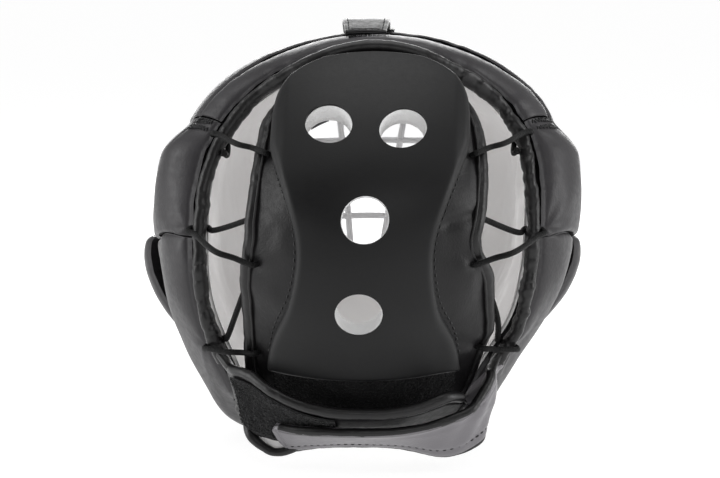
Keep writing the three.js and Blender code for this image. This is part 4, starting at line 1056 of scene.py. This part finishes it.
def strap(p, up, face, seed, folds, side, upper, flare):
    """A padded strap with hems along its edges and across its end."""
    v, thick = strap_section()
    s = run(p)[:, None]
    k = np.linspace(0, 1, len(p))[:, None]
    tip = 1 - 0.8 * np.clip((k - 0.93) / 0.07, 0, 1) ** 2.8
    wide = STRAP_WIDE / 2 * tip * v * np.where(v > 0, upper[:, None], strap_root(s))
    left = (1 - k) * s[-1]
    half = np.maximum(thick * shoulder(left, 2.2) - 0.5 * hump(left, 6, 0.9), 0.1)
    ripple = (folds(s, v) + 0.35 * noise(xyz(s / 16, v * 1.3, 0.5), seed)) * (1 - np.abs(v) ** 6)
    sides = []
    for sign in (1, -1):
        flat = droop(swept(p, up, wide, face, sign * half + ripple), np.broadcast_to(v, wide.shape), side)
        sides.append(flat - xyz(flare[:, None] * np.where(v > 0, v, 0.4 * v), 0.0, 0.0))
    return slab(*sides)


def edge_roll(path, radius, seed):
    """The rolled edge of a strap."""
    outward = unit(xyz(path[:, 0], path[:, 1] + 40, 0.0))
    away = np.cross(unit(np.gradient(path, axis=0)), outward)
    return gathered_roll(path, outward, away, 0.0, radius, seed, 0.35, False, 16)


right_turns = np.linspace(QUARTER + STRAP_OVERRUN, -QUARTER * 0.5, 260)
left_turns = np.linspace(-QUARTER - STRAP_OVERRUN, QUARTER * 0.62, 260)
# The right strap takes the lighter copy of the black leather (painted light from below), the left strap the darker
# copy (painted shade behind the right one)
for name, side, turns, layer, shape, folds, look, roll, seed in (
        ("right", 1, right_turns, 0 * right_turns, right_shape, right_folds, LIT_LEATHER, 2.4, 721),
        ("left", -1, left_turns, inner_layer(left_turns), left_shape, left_folds, SHADED_LEATHER, 3.0, 731)):
    upper, hangs, flare = shape(turns)
    p, up, face = strap_frame(turns, layer)
    p = p - scaled(up, hangs)
    s = run(p)
    rear, _, rear_away, _ = rear_edge(side * STRAP_SEWN)
    begin, stop = int(np.searchsorted(s, 19)), int(len(s) * 0.95)
    top = p + scaled(up, STRAP_WIDE / 2 * upper - 1.4) - xyz(flare, 0.0, 0.0)
    top = spline(np.concatenate([rear + rear_away * REAR_ROLL, top[begin:stop:6]]), 300)
    shown = slice(int(np.argmax(p[:, 1] < -58)), stop)
    low = droop(p - scaled(up, STRAP_WIDE / 2 * strap_root(s) - 0.6), np.full(len(p), -1.0), side)
    low = (low + xyz(0.4 * flare, 0.0, 0.0))[shown]
    if side < 0:
        slack = hump(-low[:, 0], 42, 18) * smooth((-60 - low[:, 1]) / 14)
        hem = low
        low = hem - xyz(4 * slack, 0.0, 8.0 * slack)
        k = np.linspace(0, 1, 12)[None, :, None]
        outward = face[shown, None]
        hung = hem[:, None] * (1 - k) + low[:, None] * k - outward * (0.6 + 1.2 * np.sin(math.pi * k))
        body = slab(hung[slack > 0.08], (hung - outward * 1.2)[slack > 0.08])
        piece("strap_lining", body, LINING, added=True)
    piece("neck_strap_" + name, strap(p, up, face, seed, folds, side, upper, flare), look)
    rolls = joined([edge_roll(top, roll + 0.1, seed + 3), edge_roll(low, roll, seed + 5)])
    piece("neck_strap_edge_" + name, rolls, EDGE, added=True)
    mark = droop(p - up * STRAP_WIDE * 0.33 + face * (STRAP_THICK / 2 - 0.5), np.full(len(p), -0.66), side)
    mark = mark + xyz(0.26 * flare, 0.0, 0.0)
    bodies = stitches(mark[30:-14], face[30:-14], 2.6, 3.8, 0.36)
    piece("strap_stitches_" + name, joined(bodies), THREAD, added=True)


# Fuzzy strips: a base and a nap of short fibres
def fuzzy(name, p, n, over, under, seed, count=5200, tall=1.1, soft=True):
    rng = np.random.default_rng(seed + 1)
    over = p + scaled(n, over + 0.3 * noise(p / 1.6, seed))
    rows, columns = over.shape[:2]
    i, j = rng.random(count) * (rows - 1.001), rng.random(count) * (columns - 1.001)
    i0, j0 = i.astype(int), j.astype(int)
    fi, fj = (i - i0)[:, None], (j - j0)[:, None]
    root = (over[i0, j0] * (1 - fi) * (1 - fj) + over[i0 + 1, j0] * fi * (1 - fj)
            + over[i0, j0 + 1] * (1 - fi) * fj + over[i0 + 1, j0 + 1] * fi * fj)
    up = n[i0, j0]
    lean = rng.normal(size=(count, 3))
    lean = unit(lean - scaled(up, np.sum(lean * up, axis=1)))
    side = np.cross(up, lean) * 0.13
    high = tall * (0.5 + 0.7 * rng.random(count))
    bend = root + scaled(up, 0.7 * high) + scaled(lean, 0.5 * high)
    tip = root + scaled(up, 0.75 * high) + scaled(lean, 1.2 * high)
    points = np.concatenate([root - side, root + side, bend + side, bend - side, tip])
    k = np.arange(count)
    fibres = np.concatenate([np.stack([k, k + count, k + 2 * count, k + 3 * count], axis=1),
                             np.stack([k + 3 * count, k + 2 * count, k + 4 * count, k + 4 * count], axis=1)])
    body, faces = slab(over, p + scaled(n, under))
    faces = np.concatenate([turned_out(body, faces), fibres + len(body)])
    piece(name, (np.concatenate([body, points]), faces), FUZZ, soft=soft)


row, share = crossed(np.linspace(STRIP_FOOT, PAD_BOTTOM - 0.03, 30), np.linspace(-1, 1, 90))
p, n, _, _ = panel_frame(row, share * NAPE_LOOP_HALF)
fuzzy("back_loop", p, n, PANEL_THICK / 2 + 1.6, PANEL_THICK / 2 + 0.5, 741)
turn, share = crossed(np.linspace(-QUARTER * 0.86, -QUARTER * 0.1, 90), np.linspace(-1, 1, 34))
p, up, face = strap_frame(turn, inner_layer(turn))
p = droop(p + scaled(up, share * STRAP_WIDE * 0.36), share * 0.72, -1)
fuzzy("strap_loop", p, face, STRAP_THICK / 2 + 1.7, STRAP_THICK / 2 + 0.6, 743)


def crown_place(u, x):
    """A place on the hood at a distance from the middle of the crown."""
    share = (np.abs(x) / along(HOOPS, "wEar", u)) ** (1 / along(HOOPS, "full", u))
    return on_hood(u, np.sign(x) * np.arcsin(share) / math.pi)


u, x = crossed(np.linspace(0.7, 0.96, 40), np.linspace(-11, 16, 40))
p, n, _, _ = crown_place(u, x)
high = along(CROWN_LOOP, "high", u)
fuzzy("crown_loop", p, n, high + 1.3, high, 745, 3200, soft=False)

# Crown tab with a stitched border
us = np.linspace(TAB_FRONT, TAB_END, 90)
u, x = crossed(us, edged(0.93, 5, 30) * TAB_WIDE / 2)
p, n, _, _ = crown_place(u, x)
border = np.minimum((TAB_WIDE / 2 - np.abs(x)), (TAB_END - u) * HOOD_LENGTH)
thick = TAB_THICK / 2 * (0.35 + 0.65 * shoulder(border, 1.4)) - 0.4 * hump(border, TAB_HEM, 0.7)
high = along(CROWN_TAB, "high", u) + TAB_THICK / 2
# The crown tab takes the darker copy of the black leather: painted shade against the top light
piece("crown_tab", shell(p, n, high + thick, high - thick), SHADED_LEATHER, soft=False)
bodies = []
long_seam, end_seam = us[4:-4], np.full(30, 0.853)
for u, x in ((long_seam, 0 * long_seam - TAB_WIDE / 2 + TAB_HEM), (long_seam, 0 * long_seam + TAB_WIDE / 2 - TAB_HEM),
             (end_seam, np.linspace(-TAB_WIDE / 2 + 3, TAB_WIDE / 2 - 3, 30))):
    p, n, _, _ = crown_place(u, x)
    bodies += stitches(p + scaled(n, along(CROWN_TAB, "high", u) + TAB_THICK - 0.35), n, 2.4, 3.4, 0.34)
piece("tab_stitches", joined(bodies), THREAD, added=True, soft=False)

# Face grille: welded wire
FRAME_AWAY = 2 * (GAP + ROLL) + FRAME_WIRE + FRAME_CLEAR
p, _, away = face_edge(np.linspace(-0.62, 0.62, 13))
q, _, q_away = chin_edge(np.linspace(0.6, -0.6, 7))
ring = spline(np.concatenate([p + away * FRAME_AWAY, q + q_away * FRAME_AWAY]), 260, ringed=True)
upper, lower = ring[ring[:, 2] > 135], ring[ring[:, 2] <= 135]
bars, crossings, uprights = [tube(ring, FRAME_WIRE, 12, ringed=True)], [], []


def on_upright(first, last, bow, k):
    return first + (last - first) * k + FORWARD * bow * np.sin(math.pi * k)


for top, foot, bow in UPRIGHTS:
    for _, side in SIDES:
        first = lower[np.argmin(np.abs(lower[:, 0] - side * foot) + 0.2 * lower[:, 2])]
        last = upper[np.argmin(np.abs(upper[:, 0] - side * top) - 0.2 * upper[:, 2])]
        uprights.append((first, last, bow))
        bars.append(tube(on_upright(first, last, bow, np.linspace(0, 1, 60)[:, None]), WIRE, 12))
        crossings += [first, last]
left_half, right_half = ring[ring[:, 0] < 0], ring[ring[:, 0] > 0]
for z in CROSSBARS:
    left = left_half[np.argmin(np.abs(left_half[:, 2] - z) + 0.2 * left_half[:, 0])]
    right = right_half[np.argmin(np.abs(right_half[:, 2] - z) - 0.2 * right_half[:, 0])]
    met = [on_upright(first, last, bow, (z - first[2]) / (last[2] - first[2])) for first, last, bow in uprights]
    met.sort(key=lambda c: c[0])
    bars.append(tube(spline([left, *met, right], 90), WIRE, 12))
    crossings += [left, right, *met]
k, turn = crossed(np.linspace(0.02, math.pi - 0.02, 9), 2 * math.pi * np.arange(12) / 12)
weld = WELD * xyz(np.sin(k) * np.cos(turn), np.sin(k) * np.sin(turn), np.cos(k))
bars += [loft(c + weld) for c in crossings]
piece("grille", joined(bars), STEEL)


# Leather tabs round the frame wire
def grille_tab(name, edge, place, half):
    rows = np.linspace(0, 7, 90)
    away_at, high_at = along(TAB_TURN, "away", rows)[:, None], along(TAB_TURN, "high", rows)[:, None]
    way = unit(np.concatenate([np.gradient(away_at, axis=0), np.gradient(high_at, axis=0)], axis=-1))
    v = edged(0.92, 4, 18)
    p, n, away = edge(place + half * v)
    thick = 0.8 * (0.3 + 0.7 * shoulder(1 - np.abs(v), 0.1)) - 0.25 * hump(np.abs(v), 0.78, 0.05)
    sides = []
    for sign in (1, -1):
        x, y = away_at - sign * way[:, 1:] * thick, high_at + sign * way[:, :1] * thick
        sides.append(p + away * x[..., None] + n * y[..., None])
    piece(name, slab(*sides), LEATHER)


for name, side in SIDES:
    grille_tab("grille_tab_brow_" + name, face_edge, side * 0.182, 0.04)
    grille_tab("grille_tab_chin_" + name, chin_edge, side * 0.28, 0.1)

# Floor, light and camera
FLOOR_HALF, FLOOR_LEVEL = 9, -0.0005
corners = [(x * FLOOR_HALF, y * FLOOR_HALF, FLOOR_LEVEL) for x, y in ((-1, -1), (1, -1), (1, 1), (-1, 1))]
ground = mesh_object("floor", np.array(corners), [(0, 1, 2, 3)])
pale = bpy.data.materials.new("pale_floor")
pale.use_nodes = True
set_inputs(pale.node_tree.nodes["Principled BSDF"], {
    "Base Color": (0.3, 0.3, 0.3, 1), "Roughness": 0.9, "Specular IOR Level": 0.1,
    "Emission Color": (1, 1, 1, 1), "Emission Strength": 0.86})
ground.data.materials.append(pale)

world = bpy.data.worlds.new("studio")
bpy.context.scene.world = world
world.use_nodes = True
tree = world.node_tree
back = tree.nodes["Background"]
set_inputs(back, {"Color": (1, 1, 1, 1)})
place, parts = node_of(tree, "ShaderNodeTexCoord"), node_of(tree, "ShaderNodeSeparateXYZ")
ramp = node_of(tree, "ShaderNodeMapRange", {"From Min": -1.0, "From Max": 0.25, "To Min": 0.03, "To Max": 0.5},
               interpolation_type="SMOOTHSTEP")
wire(tree, (place, "Generated", parts, "Vector"), (parts, "Y", ramp, "Value"), (ramp, "Result", back, "Strength"))

LIGHT_AIM = Vector((0, 0, 0.12))
for name, place, size, power in (
        ("top_light", (0, 0.0, 1.5), (1.3, 1.1), 8), ("left_light", (-1.35, -0.1, 0.5), (0.7, 1.1), 8),
        ("right_light", (1.35, -0.1, 0.5), (0.7, 1.1), 8), ("rear_light", (0.3, -1.5, 0.8), (1.1, 0.8), 4.5),
        ("front_light", (0, 1.3, 0.4), (1.0, 0.8), 14)):
    light = bpy.data.lights.new(name, "AREA")
    light.shape = "RECTANGLE"
    light.size, light.size_y = size
    light.energy = power
    made = bpy.data.objects.new(name, light)
    made.location = place
    made.rotation_euler = (LIGHT_AIM - Vector(place)).to_track_quat("-Z", "Y").to_euler()
    bpy.context.scene.collection.objects.link(made)

AIM, FAR, RISE, ROUND = Vector((-0.0034, 0.0, 0.115)), 1.425, math.radians(8), math.radians(0.7)
lens = bpy.data.cameras.new("camera")
lens.sensor_width = 36
lens.lens = 125
camera = bpy.data.objects.new("camera", lens)
look = Vector((-math.sin(ROUND) * math.cos(RISE), math.cos(ROUND) * math.cos(RISE), -math.sin(RISE)))
camera.location = AIM - look * FAR
camera.rotation_euler = look.to_track_quat("-Z", "Y").to_euler()
bpy.context.scene.collection.objects.link(camera)
bpy.context.scene.camera = camera
bpy.context.scene.view_settings.view_transform = "Standard"
